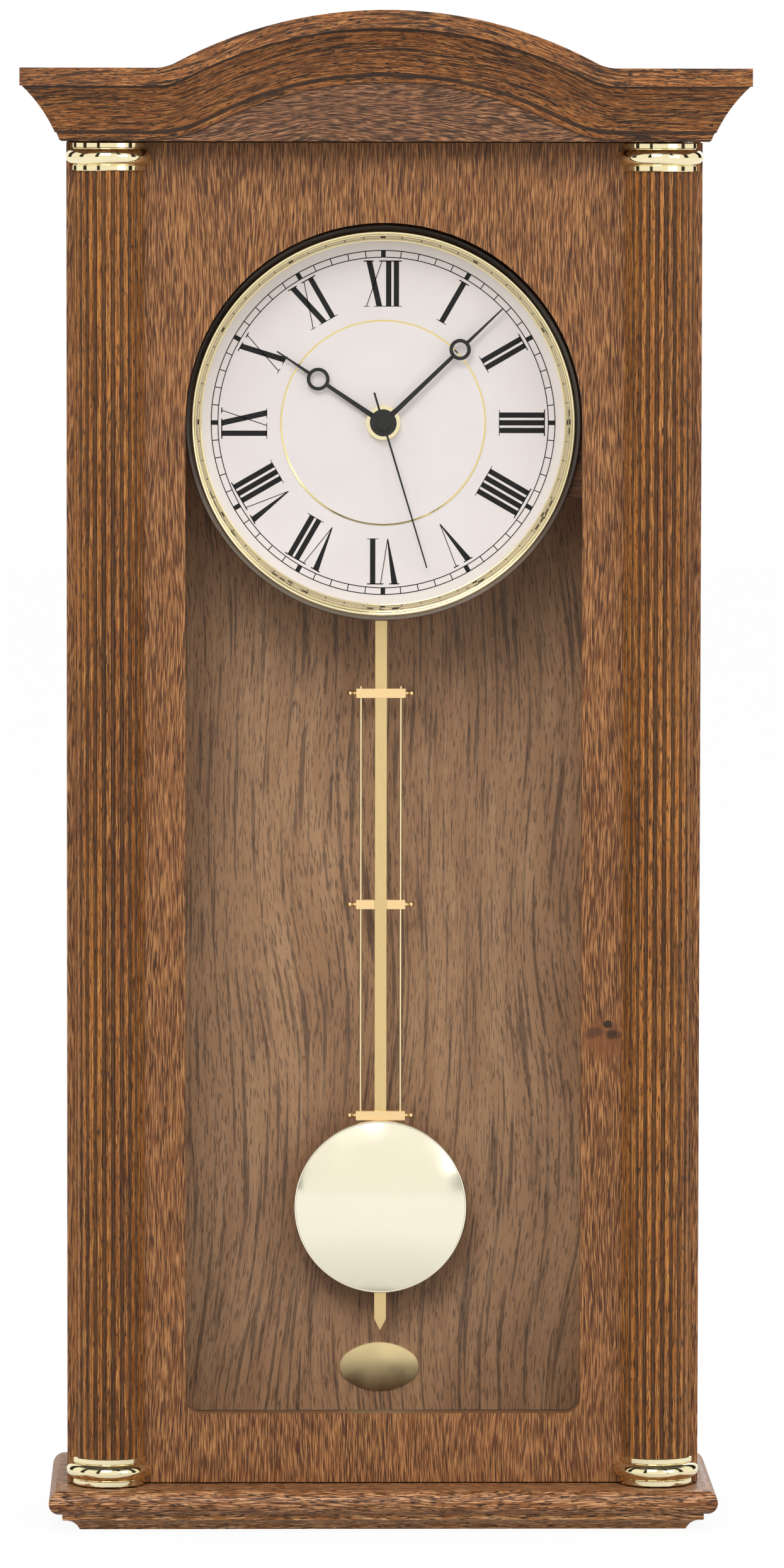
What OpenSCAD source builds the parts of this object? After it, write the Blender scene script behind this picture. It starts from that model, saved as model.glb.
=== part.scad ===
// Arched-top pendulum clock, a free-standing or wall-hung wooden case with a glazed front.
// The frame has +X to the viewer's right, -Y towards the viewer and +Z up.
// The origin is the middle of the footprint, on the surface that the clock stands on.

/* [Case] */
// Width over the outer faces of the two side boards
case_w = 271.2; // [255:1:290]
// Height of the side boards, from the base board to the crown
case_h = 576.4; // [560:0.1:610]
// Thickness of the side boards
side_t = 12; // [9:0.5:14]
// Thickness of the back panel
back_t = 4; // [3:0.5:5]
// Distance from the back panel's rear face to the wall
back_inset = 7; // [5:0.5:9]
// Width of the rebate that holds the back panel
back_rebate = 6; // [4:0.5:7]
// Width of the hand opening in the back panel
access_w = 96; // [80:1:110]
// Height of the hand opening in the back panel
access_h = 125; // [100:1:130]
// Height of the hanging rail behind the crown
rail_h = 54; // [46:1:58]
// Thickness of the hanging rail
rail_t = 10; // [10:0.5:12]

/* [Base] */
// Thickness of the base board
base_t = 10.5; // [8:0.5:12]
// How far the base board stands out past the case sides
base_out = 7.7; // [6:0.1:9]
// How far the base board stands out in front of the door
base_front_out = 24; // [22:0.5:28]
// Height of the cove moulding under the base board
foot_h = 7.6; // [6:0.1:10]
// How far the cove moulding draws in below the base board
foot_in = 13.1; // [11:0.1:15]
// Height of the square fillet at the top of the cove moulding
foot_fillet = 2.7; // [2:0.1:3.5]
// Width of the strips that the cove moulding is made from
foot_strip = 26; // [22:1:32]

/* [Crown] */
// How far the crown's top edge stands out past the case sides
crown_out = 19.2; // [18:0.1:22]
// How far the crown's top edge stands out in front of the door
crown_front_out = 36.6; // [34:0.1:40]
// Height of the crown from its underside to its level shoulders
crown_h = 31; // [30:0.5:35]
// Width of the crown moulding, measured across it
mould_w = 30.6; // [29:0.1:30.8]
// Width of the flat band along the moulding's outer edge
mould_band = 7.6; // [6:0.1:9]
// How far the moulding stands out in front of the flat field
mould_out = 17.1; // [15:0.1:18]
// Radius of the hollow in the moulding
mould_hollow_r = 62; // [50:1:90]
// How far the flat band stands out past the hollow beside it
mould_step = 0.9; // [0.6:0.1:1.5]
// Thickness of the moulding at its inner edge
mould_end = 0.5; // [0.4:0.1:1]
// Width of the fillet between the hollow and the moulding's inner edge
mould_fillet = 3.3; // [2.5:0.1:4]
// How much lower the fillet lies than the hollow above it
mould_drop = 0.6; // [0.3:0.1:0.8]
// Radius of the arch's outer edge
arch_r = 188.2; // [180:0.5:196]
// Height of the arch above the level shoulders
arch_rise = 24.5; // [21:0.5:26]
// Radius of the hollow corner between the arch and a shoulder
arch_corner_r = 20; // [15:0.5:24]
// Thickness of the top board
top_t = 8; // [6:0.5:10]

/* [Door] */
// Thickness of the door board
door_t = 16; // [15:0.5:18]
// Gap between the closed door and the case front
door_gap = 0.7; // [0.5:0.1:1]
// Gap between the door and the base board or the crown
door_end_gap = 0.6; // [0.4:0.1:1]
// Width of the window opening
window_w = 169.8; // [160:0.5:176]
// Height of the door rail under the window
window_sill = 29.8; // [26:0.1:34]
// Height of the centre of the window's round top above the door's bottom edge
window_arch_z = 456.2; // [446:0.1:462]
// Radius of the window's bottom corners
window_corner_r = 6.5; // [5:0.5:9]
// Thickness of the lip in front of the glass
lip_t = 7; // [6:0.5:8]
// Thickness of the glass
glass_t = 3; // [2:0.5:4]
// Width of the rebate around the opening that the glass lies on
glass_lap = 5; // [4:0.5:6]
// Thickness of the bead that holds the glass
bead_t = 5; // [4:0.5:5]
// Radius of the door's hidden pivot pins
pin_r = 1.5; // [1.2:0.1:2]
// Length of a pivot pin inside the door
pin_len = 9; // [7:0.5:12]
// Distance of the pivot from the door's side edge
pivot_in = 6.5; // [6:0.1:7]
// Outer radius of the bushes that the pins turn in
bush_r = 2.5; // [2.4:0.1:3]

/* [Columns] */
// Radius of the half-round fluted shafts
shaft_r = 15; // [13:0.5:15.5]
// Number of flutes on a shaft
flutes = 12; // [8:1:14]
// Radius of one flute's hollow
flute_r = 1; // [0.8:0.05:1.4]
// Depth of a flute
flute_depth = 0.9; // [0.5:0.05:1.1]
// Radius of the two thin rings of a capital
ring_r = 15.9; // [15.6:0.1:17]
// Radius of the round bead of a capital
torus_r = 18.3; // [17.2:0.1:18.5]
// Height of a thin ring
ring_h = 2.4; // [1.8:0.1:3]
// Height of the round bead
torus_h = 7.2; // [6:0.1:8]
// Distance of the columns' axes from the case's outer faces
column_in = 18; // [16.9:0.1:18.5]

/* [Dial] */
// Outer radius of the dial bezel, over its skirt
bezel_r = 84.8; // [84:0.1:85.5]
// Outer radius of the bezel's round rim
bezel_rim_r = 82.8; // [82:0.1:83.5]
// Thickness of the bezel's skirt
skirt_t = 3; // [2:0.1:4]
// Radius of the dial that shows inside the bezel
dial_show_r = 78; // [76:0.1:78.5]
// Depth of the bezel
bezel_depth = 10; // [8:0.5:11]
// Thickness of the dial plate
dial_t = 1; // [0.6:0.1:1.5]
// Radius of the wooden backing disc
disc_r = 85.3; // [85.2:0.1:86]
// Thickness of the wooden backing disc
disc_t = 6; // [5:0.5:8]
// Thickness of the carrier board behind the disc
carrier_t = 8; // [6:0.5:9]
// Height of the hands' axis above the door's bottom edge
dial_rise = 455; // [448:0.5:460]

/* [Hands] */
// Length of the minute hand
minute_len = 70.9; // [66:0.5:73]
// Length of the hour hand
hour_len = 55; // [50:0.5:60]
// Length of the second hand
second_len = 64.9; // [60:0.5:70]
// Length of the second hand's tail
second_tail = 13.7; // [10:0.5:16]
// Thickness of a hand
hand_t = 0.4; // [0.3:0.1:0.6]
// Radius of the second hand's hub
hub_r = 5.7; // [5:0.1:6.5]
// Minutes shown by the hands
minutes_shown = 7.7; // [0:0.1:59]
// Hours shown by the hands
hours_shown = 10; // [1:1:12]
// Seconds shown by the second hand
seconds_shown = 27.2; // [0:0.1:59]

/* [Movement] */
// Width and height of the movement's square case
move_w = 56; // [56:0.5:60]
// Depth of the movement's case
move_d = 18.4; // [18.4:0.1:20]
// Wall of the movement's case
move_wall = 1.2; // [1:0.1:1.5]
// Radius of the threaded centre shaft
shaft_bush_r = 4; // [3.6:0.1:4.5]
// Tooth size of the wheels, the pitch diameter over the number of teeth
gear_module = 0.5; // [0.48:0.01:0.52]
// Running clearance between a shaft and its hole
run_gap = 0.05; // [0.03:0.01:0.08]
// Radius of the round battery
battery_r = 7.25; // [7:0.05:7.3]
// Length of the round battery
battery_len = 50.5; // [49:0.1:50.5]

/* [Pendulum] */
// Distance of the pendulum's pivot below the hands' axis
pivot_drop = 34; // [33:0.5:38]
// Distance from the pivot to the middle of the bob
pendulum_len = 309.4; // [290:0.5:315]
// Radius of the bob
bob_r = 37.75; // [34:0.25:40]
// Height of the bob's front dome
bob_dome = 5; // [3:0.5:6]
// Length of the rod below the bob
rod_tail = 17; // [12:0.5:24]
// Width of the flat rod
rod_w = 5.2; // [4:0.1:6.5]
// Thickness of the flat rod
rod_t = 1; // [0.8:0.1:1.2]
// Length of a crossbar
bar_w = 21.4; // [20:0.2:26]
// Height of a crossbar
bar_h = 4; // [3:0.1:5]
// Distance between two crossbars
bar_step = 92.3; // [84:0.5:94]
// Distance of the lowest crossbar above the middle of the bob
bar_rise = 39.8; // [39.8:0.1:43]
// Distance between the two side wires
wire_gap = 17.4; // [15:0.1:18]
// Radius of a side wire
wire_r = 0.63; // [0.5:0.01:0.8]

/* [Hidden] */

// Facets of the curves in the preview
$fn = 96;
// Clearance between pieces that are fitted without glue
fit = 0.3;
// A cut runs this far past the face that it leaves
past = 1;

// Depths, from the wall at the back to the crown's front edge
door_out = 93.4;
total_d = door_out + crown_front_out;
wall_y = total_d/2;
door_y = wall_y - door_out;
door_back_y = door_y + door_t;
case_front_y = door_back_y + door_gap;
back_y = wall_y - back_inset - back_t;
case_hw = case_w/2;
inner_hw = case_hw - side_t;

// Heights
base_z = foot_h + base_t;
crown_z = base_z + case_h;
shoulder_z = crown_z + crown_h;
door_z = base_z + door_end_gap;
door_top_z = crown_z - door_end_gap;
hands_z = door_z + dial_rise;

// The crown's outline: the arch, the two hollow corners and the level shoulders
crown_hw = case_hw + crown_out;
crown_y = door_y - crown_front_out;
field_y = crown_y + mould_out;
crown_in = crown_hw - inner_hw;
crown_back_y = crown_y + crown_in;
arch_z = shoulder_z + arch_rise - arch_r;
corner_z = shoulder_z + arch_corner_r;
corner_x = sqrt(pow(arch_r + arch_corner_r, 2) - pow(corner_z - arch_z, 2));
arch_angle = atan2(corner_x, corner_z - arch_z);
meet_x = arch_r*sin(arch_angle);
meet_z = arch_z + arch_r*cos(arch_angle);

// The dial stack, from the bezel to the movement
bezel_y = door_y + 17;
disc_y = bezel_y + bezel_depth;
carrier_y = disc_y + disc_t;
move_y = carrier_y + carrier_t;
move_back_y = move_y + move_d;
dial_y = disc_y - dial_t;
nut_t = 2.4;
nut_r = 7.35;
bezel_rim = (bezel_rim_r - dial_show_r)/4;
// Hole for the centre shaft in the dial and the boards behind it
shaft_hole_r = shaft_bush_r + 0.1;

// The pendulum hangs behind the movement
rod_y = move_back_y + 6;
pivot_z = hands_z - pivot_drop;
bob_z = pivot_z - pendulum_len;
bar_z = [for (i = [0:2]) bob_z + bar_rise + i*bar_step];
wire_y = rod_y + rod_t + wire_r + 0.15;
tip_z = bob_z - bob_r - rod_tail;

// The door's pivot, and its pins in the base board and the crown
pivot_x = case_hw - pivot_in;
pivot_y = door_back_y - pivot_in;
pin_fix = 6;

// The columns and their capitals
column_x = case_hw - column_in;
capital_h = 2*ring_h + torus_h;

// The wheels inside the movement
pinion_n = 10;
wheel_n = 32;
setting_n = 30;
setting_pinion_n = 8;
setting_dist = gear_module*(pinion_n + setting_n)/2;
motor_dist = gear_module*(pinion_n + wheel_n)/2;
motor_angle = 30;
motor_x = motor_dist*cos(motor_angle);
motor_z = motor_dist*sin(motor_angle);
arbor_r = 0.5;
cannon_r = 1.35;
pipe_r = 2.2;
cannon_bore = arbor_r + run_gap;
pipe_bore = cannon_r + run_gap;
bush_bore = pipe_r + run_gap;
setting_arbor_r = 0.8;

// Axial places of the wheels, behind the movement's front face
hour_wheel_y = move_y + move_wall + 0.5;
hour_wheel_t = 1.4;
setting_pinion_t = 2;
setting_wheel_y = hour_wheel_y + setting_pinion_t + 0.1;
setting_wheel_t = 1.2;
cannon_wheel_y = setting_wheel_y + setting_wheel_t + 0.6;
wheel_t = 0.9;
second_wheel_y = cannon_wheel_y + wheel_t + 1.2;
motor_y = second_wheel_y + wheel_t + 0.8;

// Axial places of the hands, in front of the dial
bush_front_y = dial_y - nut_t - 0.4;
hour_hand_y = bush_front_y - 0.7;
minute_hand_y = hour_hand_y - hand_t - 1.1;
second_hand_y = minute_hand_y - hand_t - 1.1;
// Widths of the seconds hand at its hub and at its tip
second_root = 0.9;
second_tip = 0.6;
// Widths of a ring hand's stem at the hub and at the ring
stem_root = 2.3;
stem_end = 1.6;
// Widths of a ring hand's tip at the ring and at the end
tip_root = 1.5;
tip_end = 0.6;
// From the hour hand's tip to its ring's middle, the ring's radii and the boss
hour_tip = 21.3;
hour_ring_out = 4.9;
hour_ring_in = 3.4;
hour_boss_r = 4.4;
// The same for the minute hand
minute_tip = 25.3;
minute_ring_out = 4.6;
minute_ring_in = 3.05;
minute_boss_r = 3.6;
// Play of a hand's or wheel's hole on the shaft that it is pressed on
press_play = 0.01;

base_hw = case_hw + base_out;
base_y = door_y - base_front_out;
hour_turn = (hours_shown + minutes_shown/60)*30;
// Depth of the movement's front half
front_half_d = 9.4;
move_split_y = move_y + front_half_d;

// Depth to which the moulding's section runs into the flat field behind it
mould_root = 2;
// How far the board behind the mouldings stands in from their outer edge
field_in = 0.2;
// Step at the glued joints between the crown's mouldings
joint_step = 0.05;
// Angle by which the corner mouldings reach into their neighbours
joint_turn = 0.8;
// Clearance of a pin or bush in the hole that grips it
pin_play = 0.02;
// How far the cove moulding's fillet stands in from the base board's edge
foot_step = 5.7;

// Wood screws and the keyhole plate
screw_r = 1.5;
screw_gap = 0.1;
screw_head_t = 1.6;
screw_len = 9;
screw_head_r = 3;
screw_end = 40;
hanger_t = 1.5;
hanger_hole_r = 4.5;
hanger_slot_r = 2.3;
hanger_slot = 12;
hanger_screw_x = 24;
hanger_edge = 6;
hanger_side = 8;
hanger_pocket_d = 7;
hanger_pocket_r = hanger_hole_r + 1.5;
hanger_below = 4;
hanger_z = shoulder_z - top_t - rail_h/2 - hanger_below;
access_drop = 64;
access_z = hands_z - access_drop;

// Magnetic catch, carrier board, cleats and oval plate
catch_w = 12;
catch_d = 15;
catch_h = 24;
catch_rise = 290;
catch_z = door_z + catch_rise;
carrier_drop = 32.4;
carrier_step = 26;
carrier_top = 66;
carrier_left = 60;
cleat_w = 14;
cleat_short = 4;
plate_w = 34.5;
plate_h = 21.3;
plate_end_r = 7.2;
plate_t = 0.8;
plate_rise = 38.9;
plate_z = door_z + plate_rise;

// Pieces inside the movement
board_t = 1.2;
board_h = 9;
board_z = 21.75;
board_y = move_back_y - move_wall - 1.8 - board_t;
board_post_x = 22;
button_x = 12;
button_r = 2;
motor_gap = 3.5;
motor_w = 21;
motor_h = 14;
antenna_r = 3.6;
antenna_z = 22.5;
antenna_coil = 24;
battery_y = move_y + move_d/2;
battery_z = fit + battery_r + move_wall - move_w/2;
knob_grips = 18;
knob_r = 6;
knob_t = 3;
grip_r = 0.8;
post_r = 1.5;
motor_coil_r = 3;
motor_coil_y = 3.2;
motor_bore = 4;
antenna_wire = 1;
battery_cap_r = 2.7;
battery_cap = 1.2;
contact_h = 4;

// Pendulum drive and suspension
house_w = 32;
house_h = 28;
axle_r = 1;
magnet_drop = 14;
lever_y = move_back_y + 0.3;
lever_hub = 3.2;
peg_drop = 7;
peg_r = 1.2;
axle_fix = 5;
collar_t = 0.6;
lever_t = 1.2;
lever_w = 5;
lever_hub_r = 3;
magnet_r = 2.4;
coil_r = 5;
coil_bore = 1.5;
coil_t = 0.9;
magnet_gap = 0.4;
hook_t = 1;
hook_len = 44;
hook_overlap = 8;
bob_y = rod_y - 2.8;
bob_sheet = 0.8;
bob_clip = 6;
neck_r = 0.5;
neck_bead_r = 0.95;
ball_r = 1.35;

module along_y(y0, len) {
    translate([0, y0 + len, 0]) rotate([90, 0, 0]) linear_extrude(len) children();
}

module ring(r_out, r_in, y0, len) {
    along_y(y0, len) difference() {
        circle(r_out);
        circle(r_in);
    }
}

module rod(r, y0, len) {
    along_y(y0, len) circle(r);
}

module box(x0, x1, y0, y1, z0, z1) {
    translate([x0, y0, z0]) cube([x1 - x0, y1 - y0, z1 - z0]);
}

module both_sides() {
    children();
    mirror([1, 0, 0]) children();
}

// A toothed wheel's outline; its first tooth, or its first gap, points along +X
module gear_2d(n, tooth_first = true) {
    pitch_r = gear_module*n/2;
    tip_r = pitch_r + 0.9*gear_module;
    root_r = pitch_r - 1.25*gear_module;
    step = 360/n;
    start = tooth_first ? 0 : step/2;
    root_half = 0.30*step;
    pitch_half = 0.205*step;
    tip_half = 0.09*step;
    polygon([for (i = [0:n - 1]) for (p = [
        [root_r, -root_half], [pitch_r, -pitch_half], [tip_r, -tip_half],
        [tip_r, tip_half], [pitch_r, pitch_half], [root_r, root_half]])
        let (a = start + i*step + p[1]) [p[0]*cos(a), p[0]*sin(a)]]);
}

module gear(n, y0, len, bore_r, turn = 0, tooth_first = true) {
    along_y(y0, len) difference() {
        rotate(turn) gear_2d(n, tooth_first);
        if (bore_r > 0) circle(bore_r);
    }
}

// Section of the crown's moulding: its distance in from the outer edge, and how far it stands out
module moulding_2d(inset = 0) {
    start = [mould_band, mould_out - mould_step];
    finish = [mould_w, mould_end + mould_drop];
    chord = finish - start;
    half = norm(chord)/2;
    away = [-chord[1], chord[0]]/(2*half);
    centre = (start + finish)/2 + away*sqrt(pow(mould_hollow_r, 2) - half*half);
    difference() {
        translate([inset, inset - mould_root])
            square([mould_w - 2*inset, mould_root + mould_out - 2*inset]);
        translate(centre) circle(mould_hollow_r + inset, $fn = 360);
        intersection() {
            translate(centre - [0, mould_drop]) circle(mould_hollow_r + inset, $fn = 360);
            translate([mould_w - mould_fillet - inset, 0]) square(mould_out);
        }
    }
    translate([inset, inset - mould_root])
        square([mould_band - 2*inset, mould_root + mould_out - 2*inset]);
}

// Outline of the board behind the crown's front mouldings, seen from the front
module pediment_2d() {
    translate([-crown_hw, crown_z]) square([2*crown_hw, crown_h - field_in]);
    intersection() {
        translate([0, arch_z]) circle(arch_r - field_in, $fn = 360);
        translate([-meet_x, shoulder_z - past]) square([2*meet_x, arch_rise + 2*past]);
    }
    // The filling under the two hollow corners
    difference() {
        polygon([[-corner_x, shoulder_z - past], [corner_x, shoulder_z - past],
            [corner_x, shoulder_z], [meet_x, meet_z], [-meet_x, meet_z], [-corner_x, shoulder_z]]);
        for (s = [-1, 1]) translate([s*corner_x, corner_z]) circle(arch_corner_r + 1.5*field_in);
    }
}

// The space between the two mitre planes of the crown's front member
module front_mitre() {
    reach = crown_in + past;
    translate([0, 0, crown_z - past]) linear_extrude(2*crown_h + arch_rise) polygon([
        [-crown_hw - past, crown_y - past], [crown_hw + past, crown_y - past],
        [crown_hw - reach, crown_y + reach], [reach - crown_hw, crown_y + reach]]);
}

module pediment() {
    color("sienna") intersection() {
        union() {
            along_y(field_y, crown_back_y - field_y) pediment_2d();
            // Moulding over the arch
            translate([0, field_y, arch_z]) rotate([90, 0, 0]) rotate([0, 0, 90 - arch_angle])
                rotate_extrude(angle = 2*arch_angle, $fn = 360)
                translate([arch_r, 0]) mirror([1, 0]) moulding_2d();
            both_sides() {
                // Moulding round the hollow corner, a hair slimmer, with its ends let into the others
                translate([corner_x, field_y, corner_z]) rotate([90, 0, 0])
                    rotate([0, 0, 270 - arch_angle - joint_turn])
                    rotate_extrude(angle = arch_angle + 2*joint_turn)
                    translate([arch_corner_r, 0]) moulding_2d(joint_step);
                // Moulding along the level shoulder
                translate([crown_hw + past, field_y, shoulder_z]) rotate([0, 90, 180])
                    linear_extrude(crown_hw + past - corner_x) moulding_2d();
            }
        }
        front_mitre();
    }
}

module crown_return() {
    difference() {
        union() {
            box(inner_hw, crown_hw - mould_out, crown_y, wall_y, crown_z, shoulder_z);
            translate([crown_hw - mould_out, wall_y, shoulder_z]) rotate([90, 90, 0])
                linear_extrude(total_d) moulding_2d();
        }
        front_mitre();
        // Rebates for the top board and the back panel
        box(inner_hw - past, inner_hw + back_rebate, crown_back_y, wall_y + past,
            shoulder_z - top_t, shoulder_z + past);
        box(inner_hw - past, inner_hw + back_rebate, back_y, wall_y + past,
            crown_z - past, shoulder_z);
    }
}

module crown_return_left() {
    color("sienna") mirror([1, 0, 0]) crown_return();
}

module crown_return_right() {
    color("sienna") difference() {
        crown_return();
        pivot_hole(crown_z - past, pin_fix + past);
    }
}

// Tight hole for a pivot pin in the base board or the crown
module pivot_hole(z0, len) {
    translate([pivot_x, pivot_y, z0]) cylinder(r = pin_r + pin_play, h = len);
}

module top_board() {
    color("peru") box(-inner_hw - back_rebate, inner_hw + back_rebate, crown_back_y, wall_y,
        shoulder_z - top_t, shoulder_z);
}

// Section of the cove under the base board, measured in from its outer face
module foot_2d(len) {
    cove_h = foot_h - foot_fillet;
    cove_in = foot_in - foot_step;
    cove_r = (cove_in*cove_in + cove_h*cove_h)/(2*cove_h);
    difference() {
        square([len, foot_h]);
        intersection() {
            translate([0, cove_h - cove_r]) circle(cove_r);
            translate([-past, -past]) square([cove_in + 2*past, cove_h + past]);
        }
    }
}

// Section of the base board with its half-round edge, measured in from its outer face
module board_2d(len) {
    translate([base_t/2, base_t/2]) circle(base_t/2);
    translate([base_t/2, 0]) square([len - base_t/2, base_t]);
}

// Runs one section along the front and both sides, mitred at the two corners
module three_sided(hw, front_y, z0) {
    intersection() {
        translate([-hw, front_y, z0]) rotate([90, 0, 90]) linear_extrude(2*hw) children(0);
        translate([-hw, wall_y, z0]) rotate([90, 0, 0]) linear_extrude(wall_y - front_y)
            children(1);
        mirror([1, 0, 0]) translate([-hw, wall_y, z0]) rotate([90, 0, 0])
            linear_extrude(wall_y - front_y) children(1);
    }
}

module base_moulding() {
    hw = base_hw - foot_step;
    front_y = base_y + foot_step;
    color("saddlebrown") difference() {
        three_sided(hw, front_y, 0) {
            foot_2d(wall_y - front_y);
            foot_2d(2*hw);
        }
        box(foot_strip - hw, hw - foot_strip, front_y + foot_strip, wall_y + past,
            -past, foot_h + past);
    }
}

module base_board() {
    color("sienna") difference() {
        three_sided(base_hw, base_y, foot_h) {
            board_2d(wall_y - base_y);
            board_2d(2*base_hw);
        }
        pivot_hole(base_z - pin_fix, pin_fix + past);
    }
}

module side_board() {
    color("peru") difference() {
        box(inner_hw, case_hw, case_front_y, wall_y, base_z, crown_z);
        box(inner_hw - past, inner_hw + back_rebate, back_y, wall_y + past,
            base_z - past, crown_z + past);
        panel_screw_places() screw_hole();
    }
}

module side_left() {
    mirror([1, 0, 0]) side_board();
}

module side_right() {
    side_board();
}

// Screws along one edge of the back panel
module panel_screw_places() {
    for (z = [base_z + screw_end, (base_z + crown_z)/2, crown_z - screw_end])
        translate([inner_hw + back_rebate/2, back_y + back_t, z]) children();
}

// Screws of the hanger plate
module hanger_screw_places() {
    for (s = [-1, 1]) translate([s*hanger_screw_x, back_y + back_t, hanger_z]) children();
}

module screw_hole() {
    rod(screw_r + pin_play, -screw_len - fit, screw_len + fit + past);
}

module wood_screw(head_y) {
    rod(screw_r, -screw_len, screw_len + head_y + joint_step);
    rod(screw_head_r, head_y, screw_head_t);
}

module back_panel() {
    hw = inner_hw + back_rebate - fit;
    color("rosybrown") difference() {
        box(-hw, hw, back_y, back_y + back_t, base_z, shoulder_z - top_t);
        box(-access_w/2, access_w/2, back_y - past, back_y + back_t + past,
            access_z, access_z + access_h);
        hanger_pocket();
        both_sides() panel_screw_places() screw_hole();
        hanger_screw_places() screw_hole();
    }
}

// Room for the head of the wall screw behind the keyhole
module hanger_pocket() {
    along_y(back_y - hanger_pocket_d, hanger_pocket_d + back_t + past) translate([0, hanger_z])
        for (z = [0, hanger_slot]) translate([0, z]) circle(hanger_pocket_r);
    box(-hanger_pocket_r, hanger_pocket_r, back_y - hanger_pocket_d,
        back_y + back_t + past, hanger_z, hanger_z + hanger_slot);
}

module hanging_rail() {
    top = shoulder_z - top_t;
    color("burlywood") difference() {
        box(-inner_hw, inner_hw, back_y - rail_t, back_y, top - rail_h, top);
        hanger_pocket();
        hanger_screw_places() screw_hole();
    }
}

module hanger_plate() {
    color("silver") along_y(back_y + back_t, hanger_t) translate([0, hanger_z]) difference() {
        translate([-hanger_screw_x - hanger_edge, -hanger_side])
            square([2*(hanger_screw_x + hanger_edge), hanger_slot + 2*hanger_side]);
        circle(hanger_hole_r);
        translate([-hanger_slot_r, 0]) square([2*hanger_slot_r, hanger_slot]);
        translate([0, hanger_slot]) circle(hanger_slot_r);
        for (s = [-1, 1]) translate([s*hanger_screw_x, 0]) circle(screw_r + screw_gap);
    }
}

module case_screws() {
    color("silver") {
        both_sides() panel_screw_places() wood_screw(0);
        hanger_screw_places() wood_screw(hanger_t);
    }
}

module pivot_pins() {
    color("silver") {
        translate([pivot_x, pivot_y, base_z - pin_fix]) cylinder(r = pin_r, h = pin_fix + pin_len);
        translate([pivot_x, pivot_y, base_z]) cylinder(r = 2*pin_r, h = door_end_gap - 0.1);
        translate([pivot_x, pivot_y, crown_z - pin_len]) cylinder(r = pin_r, h = pin_fix + pin_len);
        translate([pivot_x, pivot_y, door_top_z + 0.1]) cylinder(r = 2*pin_r, h = door_end_gap - 0.1);
    }
}

module magnet_catch() {
    color("dimgray") box(-inner_hw, catch_w - inner_hw, case_front_y, case_front_y + catch_d,
        catch_z - catch_h/2, catch_z + catch_h/2);
}

module strike_plate() {
    color("silver") box(-inner_hw + 1, catch_w - inner_hw - 1, door_back_y,
        door_back_y + door_gap - 0.2, catch_z - catch_h/2 + 1, catch_z + catch_h/2 - 1);
}

// Brass plate on the back panel, an oval drawn with two end arcs and two long arcs
module oval_2d() {
    c = plate_w/2 - plate_end_r;
    half = plate_h/2;
    drop = (c*c - pow(half - plate_end_r, 2))/(2*(half - plate_end_r));
    long_r = half + drop;
    x_meet = c*long_r/(long_r - plate_end_r);
    for (s = [-1, 1]) translate([s*c, 0]) circle(plate_end_r);
    intersection() {
        translate([0, -drop]) circle(long_r);
        translate([0, drop]) circle(long_r);
        translate([-x_meet, -half - past]) square([2*x_meet, plate_h + 2*past]);
    }
}

module oval_plate() {
    color("gold") along_y(back_y - plate_t, plate_t) translate([0, plate_z]) oval_2d();
}

module dial_carrier() {
    low = hands_z - carrier_drop;
    step = hands_z + carrier_step;
    color("saddlebrown") along_y(carrier_y, carrier_t) difference() {
        union() {
            translate([-inner_hw, step]) square([2*inner_hw, carrier_top]);
            translate([-carrier_left, low]) square([carrier_left + inner_hw, step - low + past]);
        }
        translate([0, hands_z]) circle(shaft_hole_r);
    }
}

module carrier_cleats() {
    color("burlywood") both_sides() box(inner_hw - cleat_w, inner_hw, carrier_y + carrier_t,
        carrier_y + carrier_t + cleat_w, hands_z + carrier_step + cleat_short,
        hands_z + carrier_step + carrier_top - cleat_short);
}

module at_hands() {
    translate([0, 0, hands_z]) children();
}

module backing_disc() {
    color("saddlebrown") at_hands() ring(disc_r, shaft_hole_r, disc_y, disc_t);
}

// The bezel: a sloping flange inside a round rim, a flat skirt outside it, and a seat for the dial plate
module bezel() {
    seat = dial_show_r + 2*bezel_rim;
    bead_r = 1.2*bezel_rim;
    color("gold") at_hands() translate([0, disc_y, 0]) rotate([90, 0, 0]) rotate_extrude($fn = 180)
        union() {
            polygon([[dial_show_r, dial_t], [seat + 0.2, dial_t],
                [seat + 0.2, bezel_depth - bezel_rim], [dial_show_r + 0.3, dial_t + 1]]);
            translate([seat + bezel_rim, 0]) square([bezel_r - seat - bezel_rim, skirt_t]);
            intersection() {
                translate([seat, 0]) square([2*bezel_rim, bezel_depth]);
                union() {
                    translate([seat, 0]) square([2*bezel_rim, bezel_depth - bead_r]);
                    translate([seat + bezel_rim, bezel_depth - bead_r]) circle(bead_r, $fn = 64);
                }
            }
        }
}

module dial_plate() {
    color("white") at_hands()
        ring(dial_show_r + 2*bezel_rim - fit, shaft_hole_r, dial_y, dial_t);
}

module centre_nut() {
    color("gold") at_hands() ring(nut_r, shaft_bush_r + 0.02, dial_y - nut_t, nut_t);
}

module movement_front() {
    half = move_w/2;
    inside = half - move_wall;
    color("black") at_hands() difference() {
        union() {
            box(-half, half, move_y, move_split_y, -half, half);
            rod(shaft_bush_r, bush_front_y, move_y - bush_front_y);
        }
        box(-inside, inside, move_y + move_wall, move_split_y + past, -inside, inside);
        rod(bush_bore, bush_front_y - past, move_y + move_wall + 2*past - bush_front_y);
        translate([0, 0, setting_dist]) rod(setting_arbor_r + run_gap, move_y - past, move_wall + 2*past);
    }
}

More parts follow.
